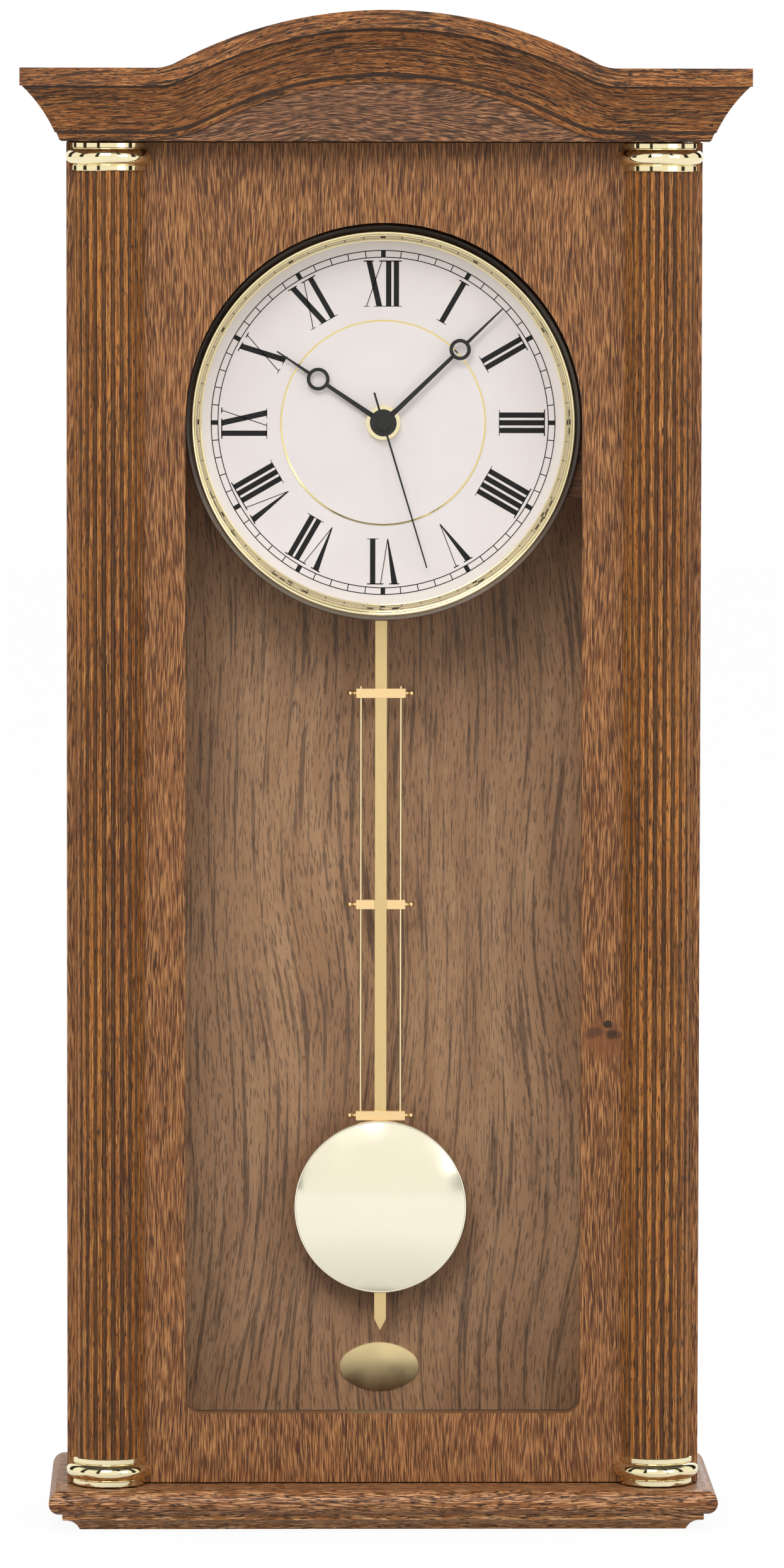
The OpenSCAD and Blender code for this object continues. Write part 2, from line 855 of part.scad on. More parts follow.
module movement_back() {
    half = move_w/2;
    inside = half - move_wall;
    color("black") at_hands() difference() {
        union() {
            difference() {
                box(-half, half, move_split_y, move_back_y, -half, half);
                box(-inside, inside, move_split_y - past, move_back_y - move_wall, -inside, inside);
            }
            // Posts for the circuit board
            for (s = [-1, 1]) translate([s*board_post_x, 0, board_z])
                rod(post_r, board_y + board_t, move_back_y - move_wall - board_y - board_t + 0.1);
        }
        // Bearings for the second arbor and the setting arbor, and the button's hole
        rod(arbor_r + run_gap, move_split_y, move_d);
        translate([0, 0, setting_dist]) rod(setting_arbor_r + run_gap, move_split_y, move_d);
        translate([button_x, 0, board_z]) rod(button_r + 0.1, board_y + board_t + 0.5, move_d);
        // Open battery compartment
        box(-battery_len/2, battery_len/2, move_back_y - move_wall - past, move_back_y + past,
            battery_z - battery_r, battery_z + battery_r);
    }
}

// Closed geared step motor, with a bore for the arbor of its output pinion
module step_motor() {
    at_hands() difference() {
        union() {
            box(motor_gap, motor_gap + motor_w, motor_y, move_back_y - move_wall,
                motor_z - motor_h/2, motor_z + motor_h/2);
            translate([motor_gap + motor_coil_r, motor_y + motor_coil_y, motor_z + motor_h/2 - fit])
                rotate([0, 90, 0]) cylinder(r = motor_coil_r, h = motor_w - 2*motor_coil_r);
        }
        translate([motor_x, 0, motor_z]) rod(arbor_r + run_gap, motor_y - past, motor_bore + past);
    }
}

module second_motor() {
    color("darkorange") step_motor();
}

module minute_motor() {
    color("darkorange") mirror([1, 0, 0]) step_motor();
}

module circuit_board() {
    color("green") at_hands() box(-board_post_x - 3, board_post_x + 3, board_y, board_y + board_t,
        board_z - board_h/2, board_z + board_h/2);
}

module antenna() {
    inside = move_w/2 - move_wall;
    color("dimgray") at_hands() translate([0, move_y + move_wall + antenna_r + fit, antenna_z])
        rotate([0, 90, 0]) {
        cylinder(r = antenna_r - antenna_wire, h = 2*inside - 2*fit, center = true);
        cylinder(r = antenna_r, h = antenna_coil, center = true);
    }
}

module battery() {
    color("orange") at_hands() translate([0, battery_y, battery_z]) rotate([0, 90, 0]) {
        cylinder(r = battery_r, h = battery_len - fit - battery_cap, center = true);
        cylinder(r = battery_cap_r, h = battery_len - fit, center = true);
    }
}

module battery_contacts() {
    inside = move_w/2 - move_wall;
    color("silver") both_sides() at_hands() box(battery_len/2, inside, battery_y - contact_h,
        battery_y + contact_h, battery_z - contact_h, battery_z + contact_h);
}

module pendulum_housing() {
    color("black") difference() {
        box(-house_w/2, house_w/2, move_split_y, move_back_y,
            hands_z - move_w/2 - house_h, hands_z - move_w/2);
        translate([0, 0, pivot_z]) rod(axle_r + pin_play, move_back_y - axle_fix, axle_fix + past);
    }
}

module drive_coil() {
    color("peru") translate([0, 0, pivot_z - magnet_drop]) ring(coil_r, coil_bore, move_back_y, coil_t);
}

module pendulum_axle() {
    color("silver") translate([0, 0, pivot_z]) {
        rod(axle_r, move_back_y - axle_fix, lever_y + lever_hub + 0.1 - move_back_y + axle_fix);
        rod(1.8*axle_r, lever_y + lever_hub + 0.1, collar_t);
    }
}

module pendulum_lever() {
    plate_y = lever_y + 2;
    color("gainsboro") difference() {
        union() {
            translate([0, 0, pivot_z]) rod(lever_hub_r, lever_y, lever_hub);
            box(-lever_w/2, lever_w/2, plate_y, plate_y + lever_t,
                pivot_z - magnet_drop - lever_hub_r, pivot_z);
            // Peg that the pendulum hangs on
            translate([0, 0, pivot_z - peg_drop]) rod(peg_r, plate_y, rod_y + 0.8 - plate_y);
        }
        translate([0, 0, pivot_z]) rod(axle_r + run_gap, lever_y - past, lever_hub + 2*past);
    }
}

module lever_magnet() {
    color("dimgray") translate([0, 0, pivot_z - magnet_drop])
        rod(magnet_r, move_back_y + coil_t + magnet_gap,
            lever_y + 2 - move_back_y - coil_t - magnet_gap);
}

module pendulum_hook() {
    color("silver") along_y(rod_y - hook_t, hook_t) difference() {
        translate([-rod_w/2, pivot_z - hook_len]) square([rod_w, hook_len - peg_drop + 3]);
        translate([0, pivot_z - peg_drop]) circle(peg_r + run_gap);
    }
}

module pendulum_rod() {
    top = pivot_z - hook_len + hook_overlap;
    color("khaki") along_y(rod_y, rod_t) polygon([[-rod_w/2, top], [-rod_w/2, tip_z + rod_w],
        [0, tip_z], [rod_w/2, tip_z + rod_w], [rod_w/2, top]]);
}

// One crossbar; the middle one lies behind the rod, the others have it in a slot
module crossbar(z, behind) {
    front = behind ? rod_y + rod_t/2 : rod_y - 1;
    back = wire_y + wire_r + 0.8;
    difference() {
        union() {
            box(-bar_w/2, bar_w/2, front, back, z - bar_h/2, z + bar_h/2);
            for (s = [-1, 1]) translate([s*bar_w/2, (front + back)/2, z]) rotate([0, s*90, 0]) {
                translate([0, 0, -0.1]) cylinder(r = 0.85, h = 1);
                translate([0, 0, 0.7]) sphere(neck_bead_r, $fn = 24);
                translate([0, 0, 2*ball_r]) sphere(ball_r, $fn = 24);
                translate([0, 0, 1]) cylinder(r = neck_r, h = 1);
            }
        }
        box(-rod_w/2 - 0.05, rod_w/2 + 0.05, rod_y - (behind ? past : 0.02),
            rod_y + rod_t + 0.02, z - bar_h, z + bar_h);
        for (s = [-1, 1]) translate([s*wire_gap/2, wire_y, z - bar_h])
            cylinder(r = wire_r + 0.02, h = 2*bar_h);
    }
}

module crossbars() {
    color("khaki") for (i = [0:2]) crossbar(bar_z[i], i == 1);
}

module side_wires() {
    low = bar_z[0] - bar_h/2;
    color("khaki") for (s = [-1, 1]) translate([s*wire_gap/2, wire_y, low])
        cylinder(r = wire_r, h = bar_z[2] + bar_h/2 + 1 - low);
}

// Front of the bob, a shallow dome pressed from sheet
module bob_front() {
    dome_r = (bob_r*bob_r + bob_dome*bob_dome)/(2*bob_dome);
    color("gold") translate([0, bob_y, bob_z]) rotate([90, 0, 0]) rotate_extrude($fn = 180)
        intersection() {
            translate([0, bob_dome - dome_r]) difference() {
                circle(dome_r, $fn = 720);
                circle(dome_r - bob_sheet, $fn = 720);
            }
            square([bob_r, bob_dome + past]);
        }
}

// Back of the bob, a flat disc with a bridge that grips the rod
module bob_back() {
    color("goldenrod") difference() {
        union() {
            translate([0, 0, bob_z]) rod(bob_r, bob_y, rod_y - 0.3 - bob_y);
            box(-rod_w/2 - 2, rod_w/2 + 2, rod_y - 0.4, rod_y + rod_t + bob_sheet,
                bob_z - bob_clip, bob_z + bob_clip);
        }
        box(-rod_w/2 - 0.02, rod_w/2 + 0.02, rod_y - 0.02, rod_y + rod_t + 0.02,
            bob_z - bob_r, bob_z + bob_r);
    }
}

// A flat hand that points up: a tapering stem, a ring and a tapering tip
module ring_hand_2d(len, tip_from_ring, ring_out, ring_in, boss_r, bore_r) {
    ring_at = len - tip_from_ring;
    difference() {
        union() {
            circle(boss_r);
            polygon([[-stem_root/2, 0], [stem_root/2, 0],
                [stem_end/2, ring_at - ring_in], [-stem_end/2, ring_at - ring_in]]);
            translate([0, ring_at]) circle(ring_out);
            polygon([[-tip_root/2, ring_at + ring_in], [tip_root/2, ring_at + ring_in],
                [tip_end/2, len], [-tip_end/2, len]]);
        }
        translate([0, ring_at]) circle(ring_in);
        circle(bore_r);
    }
}

module hour_hand() {
    color("black") at_hands() along_y(hour_hand_y, hand_t) rotate(-hour_turn)
        ring_hand_2d(hour_len, hour_tip, hour_ring_out, hour_ring_in, hour_boss_r, pipe_r + press_play);
}

module hour_wheel() {
    color("gold") at_hands() {
        ring(pipe_r, pipe_bore, hour_hand_y - 0.3, hour_wheel_y + hour_wheel_t - hour_hand_y + 0.3);
        gear(wheel_n, hour_wheel_y, hour_wheel_t, pipe_bore + 0.3, 90, false);
    }
}

module minute_hand() {
    color("black") at_hands() along_y(minute_hand_y, hand_t) rotate(-minutes_shown*6)
        ring_hand_2d(minute_len, minute_tip, minute_ring_out, minute_ring_in, minute_boss_r, cannon_r + press_play);
}

module cannon_wheel() {
    pinion_y = hour_wheel_y + hour_wheel_t + 0.2;
    color("gold") at_hands() {
        ring(cannon_r, cannon_bore, minute_hand_y - 0.3, cannon_wheel_y + wheel_t - minute_hand_y + 0.3);
        gear(pinion_n, pinion_y, cannon_wheel_y - pinion_y, cannon_r - 0.2, 90);
        gear(wheel_n, cannon_wheel_y, wheel_t, cannon_r - 0.2, 180 - motor_angle, false);
    }
}

module second_hand() {
    color("black") at_hands() rotate([0, seconds_shown*6, 0]) {
        along_y(second_hand_y, hand_t) difference() {
            union() {
                circle(hub_r);
                polygon([[-second_root/2, 0], [second_root/2, 0],
                    [second_tip/2, second_len], [-second_tip/2, second_len]]);
                translate([-second_root/2, -second_tail]) square([second_root, second_tail]);
            }
            circle(arbor_r + press_play);
        }
        // Cap over the arbor's end
        ring(hub_r*0.54, arbor_r + press_play, second_hand_y - 0.5, 0.5);
        rod(hub_r*0.54, second_hand_y - 0.9, 0.4);
    }
}

module second_wheel() {
    color("gold") at_hands() {
        rod(arbor_r, second_hand_y - 0.4, move_back_y - 0.2 - second_hand_y + 0.4);
        gear(wheel_n, second_wheel_y, wheel_t, 0, motor_angle, false);
        rod(1.2, second_wheel_y - 0.4, wheel_t + 1);
    }
}

module setting_wheel() {
    color("gold") at_hands() translate([0, 0, setting_dist]) {
        rod(setting_arbor_r, move_y + 0.2, move_back_y + 3 - move_y);
        gear(setting_pinion_n, hour_wheel_y - 0.1, setting_pinion_t + 0.2, 0, 270);
        gear(setting_n, setting_wheel_y, setting_wheel_t, 0, 270, false);
    }
}

module setting_knob() {
    color("dimgray") at_hands() translate([0, 0, setting_dist])
        along_y(move_back_y + 0.5, knob_t) difference() {
            circle(knob_r);
            circle(setting_arbor_r + press_play);
            for (i = [0:knob_grips - 1]) rotate(i*360/knob_grips) translate([knob_r + grip_r/2, 0])
                circle(grip_r, $fn = 24);
        }
}

// Output pinion of a step motor, with its arbor in the motor's bore
module motor_pinion(y0, len) {
    translate([motor_x, 0, motor_z]) {
        gear(pinion_n, y0, len, 0, 180 + motor_angle);
        rod(arbor_r, y0, motor_y + motor_bore - fit - y0);
    }
}

module second_pinion() {
    color("white") at_hands() motor_pinion(second_wheel_y - 0.2, wheel_t + 0.4);
}

module minute_pinion() {
    color("white") mirror([1, 0, 0]) at_hands() motor_pinion(cannon_wheel_y - 0.2, wheel_t + 0.4);
}

module set_button() {
    wall_in = move_back_y - move_wall;
    color("white") at_hands() translate([button_x, 0, board_z]) {
        rod(button_r + 0.9, wall_in - 0.8 - 0.05, 0.8);
        rod(button_r, wall_in - 0.1, move_wall + 1.6);
    }
}

// Outline of the window opening, or of a piece that is larger by grow all round
module window_2d(grow) {
    half = window_w/2 + grow;
    low = door_z + window_sill - grow;
    corner = window_corner_r + grow;
    translate([0, door_z + window_arch_z]) circle(half, $fn = 240);
    translate([-half, low + corner]) square([2*half, door_z + window_arch_z - low - corner]);
    translate([corner - half, low]) square([2*half - 2*corner, corner + past]);
    for (s = [-1, 1]) translate([s*(half - corner), low + corner]) circle(corner);
}

module door_board() {
    color("peru") difference() {
        along_y(door_y, door_t) difference() {
            translate([-case_hw, door_z]) square([case_w, door_top_z - door_z]);
            window_2d(0);
        }
        along_y(door_y + lip_t, door_t) window_2d(glass_lap + fit);
        // The pivot edge is rounded about the pivot, so that it turns past the case
        difference() {
            box(pivot_x, case_hw + past, pivot_y, door_back_y + past, door_z - past, door_top_z + past);
            translate([pivot_x, pivot_y, door_z - 2*past])
                cylinder(r = pivot_in, h = case_h + 4*past);
        }
        for (z = [door_z - past, door_top_z - pin_len - 1]) translate([pivot_x, pivot_y, z])
            cylinder(r = bush_r + pin_play, h = pin_len + 1 + past);
    }
}

module pivot_bushes() {
    color("gold") for (z = [door_z, door_top_z - pin_len]) translate([pivot_x, pivot_y, z])
        difference() {
            cylinder(r = bush_r, h = pin_len);
            translate([0, 0, -past]) cylinder(r = pin_r + run_gap, h = pin_len + 2*past);
        }
}

module door_glass() {
    color("lightcyan", 0.35) along_y(door_y + lip_t, glass_t) window_2d(glass_lap);
}

module glass_bead() {
    color("saddlebrown") along_y(door_y + lip_t + glass_t, bead_t) difference() {
        window_2d(glass_lap);
        window_2d(0.5);
    }
}

// Half-round shaft with hollow flutes, glued to the front of the door
module column() {
    pitch = 180/flutes;
    translate([column_x, door_y, door_z + capital_h])
        linear_extrude(door_top_z - door_z - 2*capital_h) difference() {
        circle(shaft_r, $fn = 180);
        translate([-shaft_r - past, 0]) square([2*shaft_r + 2*past, shaft_r + past]);
        for (i = [0:flutes - 1]) rotate(180 + (i + 0.5)*pitch)
            translate([shaft_r - flute_depth + flute_r, 0]) circle(flute_r, $fn = 32);
    }
}

module column_left() {
    color("sienna") mirror([1, 0, 0]) column();
}

module column_right() {
    color("sienna") column();
}

// A half-round capital: a round bead between two thin rings
module capital(z0) {
    bead_r = torus_h/2;
    translate([column_x, door_y, z0]) rotate([0, 0, 180]) rotate_extrude(angle = 180) {
        square([ring_r, capital_h]);
        translate([0, ring_h]) square([torus_r - bead_r, torus_h]);
        translate([torus_r - bead_r, ring_h + bead_r]) circle(bead_r, $fn = 64);
    }
}

module capitals_top() {
    color("gold") both_sides() capital(door_top_z - capital_h);
}

module capitals_bottom() {
    color("gold") both_sides() capital(door_z);
}

base_moulding();
base_board();
side_left();
side_right();
back_panel();
hanging_rail();
hanger_plate();
case_screws();
pediment();
crown_return_left();
crown_return_right();
top_board();
pivot_pins();
magnet_catch();
dial_carrier();
carrier_cleats();
backing_disc();
bezel();
dial_plate();
centre_nut();
movement_front();
movement_back();
second_motor();
minute_motor();
circuit_board();
antenna();
battery();
battery_contacts();
pendulum_housing();
drive_coil();
pendulum_axle();
oval_plate();
door_board();
column_left();
column_right();
capitals_top();
capitals_bottom();
door_glass();
glass_bead();
strike_plate();
pivot_bushes();
pendulum_lever();
lever_magnet();
pendulum_hook();
pendulum_rod();
crossbars();
side_wires();
bob_front();
bob_back();
hour_hand();
hour_wheel();
minute_hand();
cannon_wheel();
second_hand();
second_wheel();
setting_wheel();
setting_knob();
second_pinion();
minute_pinion();
set_button();
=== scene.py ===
# %% [markdown]
# # An arched pendulum clock in stained oak and polished brass
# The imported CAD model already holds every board, bead and wheel at its true size. All of it could
# be modelled again here, but a shape that is right needs only a finish. So this lesson gives each
# part the finish of the real material, and models again only the few pieces whose shine depends on
# finer curves than the CAD mesh has: the bezel, the capitals and the bob. It adds the dial's
# printing, which is too thin to be worth a CAD solid.

# %% Load the frame
import math

import bmesh
import bpy
from mathutils import Matrix, Vector


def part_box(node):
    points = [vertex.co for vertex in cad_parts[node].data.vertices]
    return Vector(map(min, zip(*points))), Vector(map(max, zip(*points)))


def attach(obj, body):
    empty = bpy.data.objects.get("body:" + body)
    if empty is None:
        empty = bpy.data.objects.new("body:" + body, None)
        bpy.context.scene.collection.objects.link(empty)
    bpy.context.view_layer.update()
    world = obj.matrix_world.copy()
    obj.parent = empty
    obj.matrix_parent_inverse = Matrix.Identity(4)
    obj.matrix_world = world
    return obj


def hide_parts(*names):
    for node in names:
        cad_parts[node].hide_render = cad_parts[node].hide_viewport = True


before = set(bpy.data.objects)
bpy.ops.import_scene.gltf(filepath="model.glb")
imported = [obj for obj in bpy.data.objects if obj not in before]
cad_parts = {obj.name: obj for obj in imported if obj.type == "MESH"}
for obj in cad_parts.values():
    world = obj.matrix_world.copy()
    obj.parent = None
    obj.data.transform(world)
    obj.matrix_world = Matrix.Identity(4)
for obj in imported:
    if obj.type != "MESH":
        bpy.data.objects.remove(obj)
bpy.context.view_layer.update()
MM = 0.001
print("loaded", len(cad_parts), "nodes")

# %% [markdown]
# ## Places
# Places could be typed in, but then they would be wrong as soon as the model changes. These are
# read from the CAD nodes. The dial's front and the hands' axis place everything on the dial, and
# the door's front is where the camera's distance, the knot and the columns are measured from.

# %% Places taken from the frame
dial_low, dial_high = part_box("dial_plate")
bezel_low, bezel_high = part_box("bezel")
bob_low, bob_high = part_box("bob_front")
dial_front = dial_low.y
hands_axis = (dial_low.z + dial_high.z) / 2
bob_centre = (bob_low.z + bob_high.z) / 2
door_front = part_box("door_board")[0].y
print("dial front", round(dial_front, 4), "hands at", round(hands_axis, 4))

# %% [markdown]
# ## Two small helpers
# Finishes are written as the hex colours that a paint shop would quote, and Blender wants linear
# light, so one function turns the first into the second. A node tree could be drawn by hand in the
# editor. In a script, one function that adds a node, sets its values and links what comes from
# other nodes keeps each node to one line.


# %% Colour and node helpers
def linear(colour):
    """Linear RGBA of an sRGB hex colour such as 8B5E3C."""
    parts = [int(colour[i : i + 2], 16) / 255 for i in (0, 2, 4)]
    return [c / 12.92 if c <= 0.04045 else ((c + 0.055) / 1.055) ** 2.4 for c in parts] + [1.0]


def add(tree, kind, inputs=(), **settings):
    """A new shader node. Inputs take a value, an output socket, or a node for its first output."""
    node = tree.nodes.new("ShaderNode" + kind)
    for key, value in settings.items():
        setattr(node, key, value)
    for key, value in dict(inputs).items():
        if isinstance(value, bpy.types.Node):
            value = value.outputs[0]
        if isinstance(value, bpy.types.NodeSocket):
            tree.links.new(value, node.inputs[key])
        else:
            node.inputs[key].default_value = value
    return node


print("oak brown in linear light:", [round(c, 3) for c in linear("8B5E3C")])

# %% [markdown]
# ## Camera
# The photograph was taken from about four metres away, a hand's width to the left and just below
# the top of the crown, with a long lens that looks down by four degrees. The view could be matched
# by eye, but a long lens hides small errors of distance, so these values come from a least squares
# fit of some forty edges measured in it.

# %% Camera
CAMERA_PLACE = (-0.0748, door_front - 4.0, 0.6194)
LOOK_DOWN, LOOK_RIGHT, ROLL = 0.0747, 0.01959, 0.00169
camera_data = bpy.data.cameras.new("camera")
camera_data.lens = 215.18
camera_data.clip_end = 50
camera = bpy.data.objects.new("camera", camera_data)
aim = Matrix.Rotation(-LOOK_RIGHT, 4, "Z") @ Matrix.Rotation(math.pi / 2 - LOOK_DOWN, 4, "X")
camera.matrix_world = Matrix.Translation(CAMERA_PLACE) @ aim @ Matrix.Rotation(ROLL, 4, "Z")
bpy.context.scene.collection.objects.link(camera)
bpy.context.scene.camera = camera
bpy.context.scene.view_settings.view_transform = "Standard"
print("camera at", [round(v, 3) for v in camera.location])

# %% [markdown]
# ## The studio round the clock
# Polished brass has hardly a colour of its own: it shows whatever stands round it. An HDR picture
# would give it something to show, but a few bands of light and dark do it too and need no file. To
# reflections the world is a ring of white screens with narrow dark openings under a dim ceiling. To
# matt surfaces it is a plain soft light from above, and to the camera and through glass it is
# white.
#
# A Map Range node has the value in socket 0, the ends that it comes from in 1 and 2, and the ends
# that it goes to in 3 and 4. A Mix node of colours has the mask in 0, the two colours in 6 and 7,
# and its result in output 2.

# %% World
# Each dark opening: its middle and its half width, in degrees to the right of the clock's front
OPENINGS = ((-128, 9), (-78, 6), (-31, 4), (31, 4), (72, 6), (132, 10))
# How soft the openings' sides are, in degrees
EDGE = 1.5
SCREEN, GAP = linear("FFFDF6"), linear("2A2620")

world = bpy.data.worlds.new("studio")
world.use_nodes = True
bpy.context.scene.world = world
tree = world.node_tree
tree.nodes.clear()
path = add(tree, "LightPath").outputs
ray = add(tree, "SeparateXYZ", {0: add(tree, "TexCoord").outputs["Generated"]}).outputs
front = add(tree, "Math", {0: ray["Y"], 1: -1.0}, operation="MULTIPLY")
azimuth = add(tree, "Math", {0: ray["X"], 1: front}, operation="ARCTAN2")
turn = add(tree, "MapRange", {0: azimuth, 1: -math.pi, 2: math.pi})
screens = add(tree, "ValToRGB", {0: turn})
stops = screens.color_ramp.elements
stops.remove(stops[1])
stops[0].position = 0
stops[0].color = SCREEN
for middle, half in OPENINGS:
    sides = ((-half - EDGE, SCREEN), (-half, GAP), (half, GAP), (half + EDGE, SCREEN))
    for offset, colour in sides:
        stops.new((middle + offset + 180) / 360).color = colour
ceiling = add(tree, "MapRange", {0: ray["Z"], 1: 0.6, 2: 0.75, 3: 1.0, 4: 0.12})
shown = add(tree, "Mix", {0: 1.0, 6: screens, 7: ceiling}, data_type="RGBA", blend_type="MULTIPLY")
skylight = add(tree, "MapRange", {0: ray["Z"], 1: -0.4, 2: 0.6, 3: 0.3, 4: 0.8})
by_ray = {0: path["Is Glossy Ray"], 6: skylight, 7: shown.outputs[2]}
mirrored = add(tree, "Mix", by_ray, data_type="RGBA")
clear_ray = {0: path["Is Camera Ray"], 1: path["Is Transmission Ray"]}
clear = add(tree, "Math", clear_ray, operation="MAXIMUM")
seen = add(tree, "Mix", {0: clear, 6: mirrored.outputs[2], 7: linear("FFFFFF")}, data_type="RGBA")
background = add(tree, "Background", {"Color": seen.outputs[2], "Strength": 1.0})
add(tree, "OutputWorld", {"Surface": background})
print("studio with", len(OPENINGS), "dark openings")

# %% [markdown]
# ## The floor
# The clock stands on a sheet of pale paper that runs out of sight. Lit paper never comes out quite
# white, and more light would wash out the oak, so four fifths of what the camera sees here is the
# white of an Emission shader. The last fifth is the paper itself, which keeps the clock's shadow.
# Reflections see the white floor too, but close to the clock they see more of the real paper, or
# the lower capitals would lose their shape.


# %% Floor
def new_object(name, bm):
    """An object from a bmesh, linked to the scene."""
    mesh = bpy.data.meshes.new(name)
    bm.to_mesh(mesh)
    bm.free()
    made = bpy.data.objects.new(name, mesh)
    bpy.context.scene.collection.objects.link(made)
    return made


FLOOR_HALF = 8.0
WHITE_SHARE = 0.8
bm = bmesh.new()
bmesh.ops.create_grid(bm, x_segments=1, y_segments=1, size=FLOOR_HALF)
floor = new_object("floor", bm)
paper = bpy.data.materials.new("floor_paper")
paper.use_nodes = True
tree = paper.node_tree
tree.nodes.clear()
path = add(tree, "LightPath").outputs
matt = add(tree, "BsdfDiffuse", {"Color": linear("B4B3B1")})
white = add(tree, "Emission", {"Color": linear("FFFFFF"), "Strength": 1.15})
spot = add(tree, "VectorMath", {0: add(tree, "TexCoord").outputs["Object"]}, operation="LENGTH")
near = add(tree, "MapRange", {0: spot.outputs["Value"], 1: 0.1, 2: 0.4, 3: 0.6, 4: 1.0})
glossy = add(tree, "Math", {0: path["Is Glossy Ray"], 1: near}, operation="MULTIPLY")
clear_ray = {0: path["Is Camera Ray"], 1: path["Is Transmission Ray"]}
clear = add(tree, "Math", clear_ray, operation="MAXIMUM")
unlit = add(tree, "Math", {0: clear, 1: glossy}, operation="MAXIMUM")
share = add(tree, "Math", {0: unlit, 1: WHITE_SHARE}, operation="MULTIPLY")
mixed = add(tree, "MixShader", {0: share, 1: matt, 2: white})
add(tree, "OutputMaterial", {"Surface": mixed})
floor.data.materials.append(paper)
print("floor", 2 * FLOOR_HALF, "m across")

# %% [markdown]
# ## The lamps
# A product is lit by large soft boxes, so that its shadows have no hard edge. Area lamps are the
# nearest thing in Blender. The key stands high in front at the left, a weak fill at the right keeps
# the columns' shaded sides readable, and a third lamp behind keeps the back from going black when
# the clock is turned.

# %% Lamps
# Name, place, size across and power of each lamp
LAMPS = (
    ("key", (-0.5, -2.5, 2.0), 1.3, 38),
    ("fill", (1.7, -2.2, 1.1), 1.4, 11),
    ("rear", (0.9, 2.4, 1.6), 1.4, 22),
)
CLOCK_MIDDLE = Vector((0, 0, 0.33))
for name, place, size, power in LAMPS:
    data = bpy.data.lights.new(name, "AREA")
    data.size = size
    data.energy = power
    lamp = bpy.data.objects.new(name, data)
    lamp.location = place
    lamp.rotation_euler = (CLOCK_MIDDLE - Vector(place)).to_track_quat("-Z", "Y").to_euler()
    bpy.context.scene.collection.objects.link(lamp)
print("lamps:", ", ".join(row[0] for row in LAMPS))

# %% [markdown]
# ## Oak
# The case is oak with a walnut stain under a satin lacquer. Oak has wide open pores, which hold the
# stain as short dark dashes, while the dense wood between them stays pale. A photograph of a board
# would repeat on every piece, so the wood is built up from noise: each pattern is stretched along
# the grain and sized in millimetres, and one slow noise bends them all together, as the growth of a
# trunk does.


# %% Patterns for wood
X, Y, Z = 0, 1, 2


def surface(name, **inputs):
    """A material with one Principled shader; inputs are set on its own sockets."""
    material = bpy.data.materials.new(name)
    material.use_nodes = True
    shader = material.node_tree.nodes["Principled BSDF"]
    for key, value in inputs.items():
        shader.inputs[key.replace("_", " ")].default_value = value
    return material, material.node_tree, shader


def blotches(tree, vector, size_mm, low, high, offset=0.0, detail=2.0):
    """Noise whose cells measure size_mm along x, y and z, as a mask that rises from low to high."""
    scale = [1 / (s * MM) for s in size_mm]
    moved = (offset, offset, offset)
    placed = add(tree, "Mapping", {"Vector": vector, "Scale": scale, "Location": moved})
    noise = add(tree, "TexNoise", {"Vector": placed, "Scale": 1.0, "Detail": detail})
    mask = add(tree, "MapRange", {0: noise, 1: low, 2: high}, interpolation_type="SMOOTHSTEP")
    return mask.outputs[0]


def laid_over(tree, mask, under, over, strength=1.0):
    """The colour under, with the colour over it where the mask is white, as strong as asked."""
    if strength != 1.0:
        mask = add(tree, "Math", {0: mask, 1: strength}, operation="MULTIPLY")
    under, over = (linear(c) if isinstance(c, str) else c for c in (under, over))
    return add(tree, "Mix", {0: mask, 6: under, 7: over}, data_type="RGBA").outputs[2]


def grain_size(along, across, axis):
    """Cell sizes in x, y and z for a pattern that is long along one axis."""
    return [along if i == axis else across for i in range(3)]


def bent(tree, place, along, across, push_mm, length, width):
    """Coordinates pushed across the grain by a slow noise, so that the grain wanders."""
    scale = [1 / (s * MM) for s in grain_size(length, width, along)]
    placed = add(tree, "Mapping", {"Vector": place, "Scale": scale})
    noise = add(tree, "TexNoise", {"Vector": placed, "Scale": 1.0, "Detail": 0.0})
    centred = add(tree, "Math", {0: noise, 1: 0.5}, operation="SUBTRACT")
    push = add(tree, "Math", {0: centred, 1: push_mm * MM}, operation="MULTIPLY")
    shift = add(tree, "CombineXYZ", {across: push})
    return add(tree, "VectorMath", {0: place, 1: shift}, operation="ADD").outputs[0]


print("patterns for wood are ready")

# %% [markdown]
# ### Cuts of oak
# A board shows long straight lines where it is sawn towards the heart, and lively curves where it
# is sawn across the rings. One set of values could serve every board, but the clock has calm
# columns next to a restless crown, so each cut has its own. The bend of a cut is how far it pushes
# the grain, then the length and width of that noise's cells. Every other layer has its cells'
# length and width, where its mask starts and ends in the noise, and its strength. The pores are
# about as wide as in real oak, a third of a millimetre.

# %% Cuts of oak
FLAT_CUT = {
    "tones": ("6E3F1A", "7F4D27"), "light": "BE8653", "dark": "37190A",
    "bend": (6, 70, 26), "rings": (60, 3.0, 0.5, 0.62, 0.2),
    "pale": (9, 0.36, 0.4, 0.62, 0.95), "pores": (7.5, 0.32, 0.48, 0.64, 0.85),
}
LONG_CUT = {
    "tones": ("925520", "B4702F"), "light": "DC9C58", "dark": "2B1607",
    "bend": (4, 90, 26), "rings": (90, 0.8, 0.46, 0.64, 0.6),
    "pale": (14, 0.36, 0.5, 0.68, 0.7), "pores": (5, 0.3, 0.54, 0.62, 0.9),
}
CROWN_CUT = {
    "tones": ("7E4A22", "965A2A"), "light": "CC8B50", "dark": "1F1208",
    "bend": (9, 60, 22), "rings": (40, 1.3, 0.46, 0.6, 0.85),
    "pale": (9, 0.45, 0.48, 0.66, 0.7), "pores": (3.2, 0.32, 0.55, 0.61, 0.95),
}
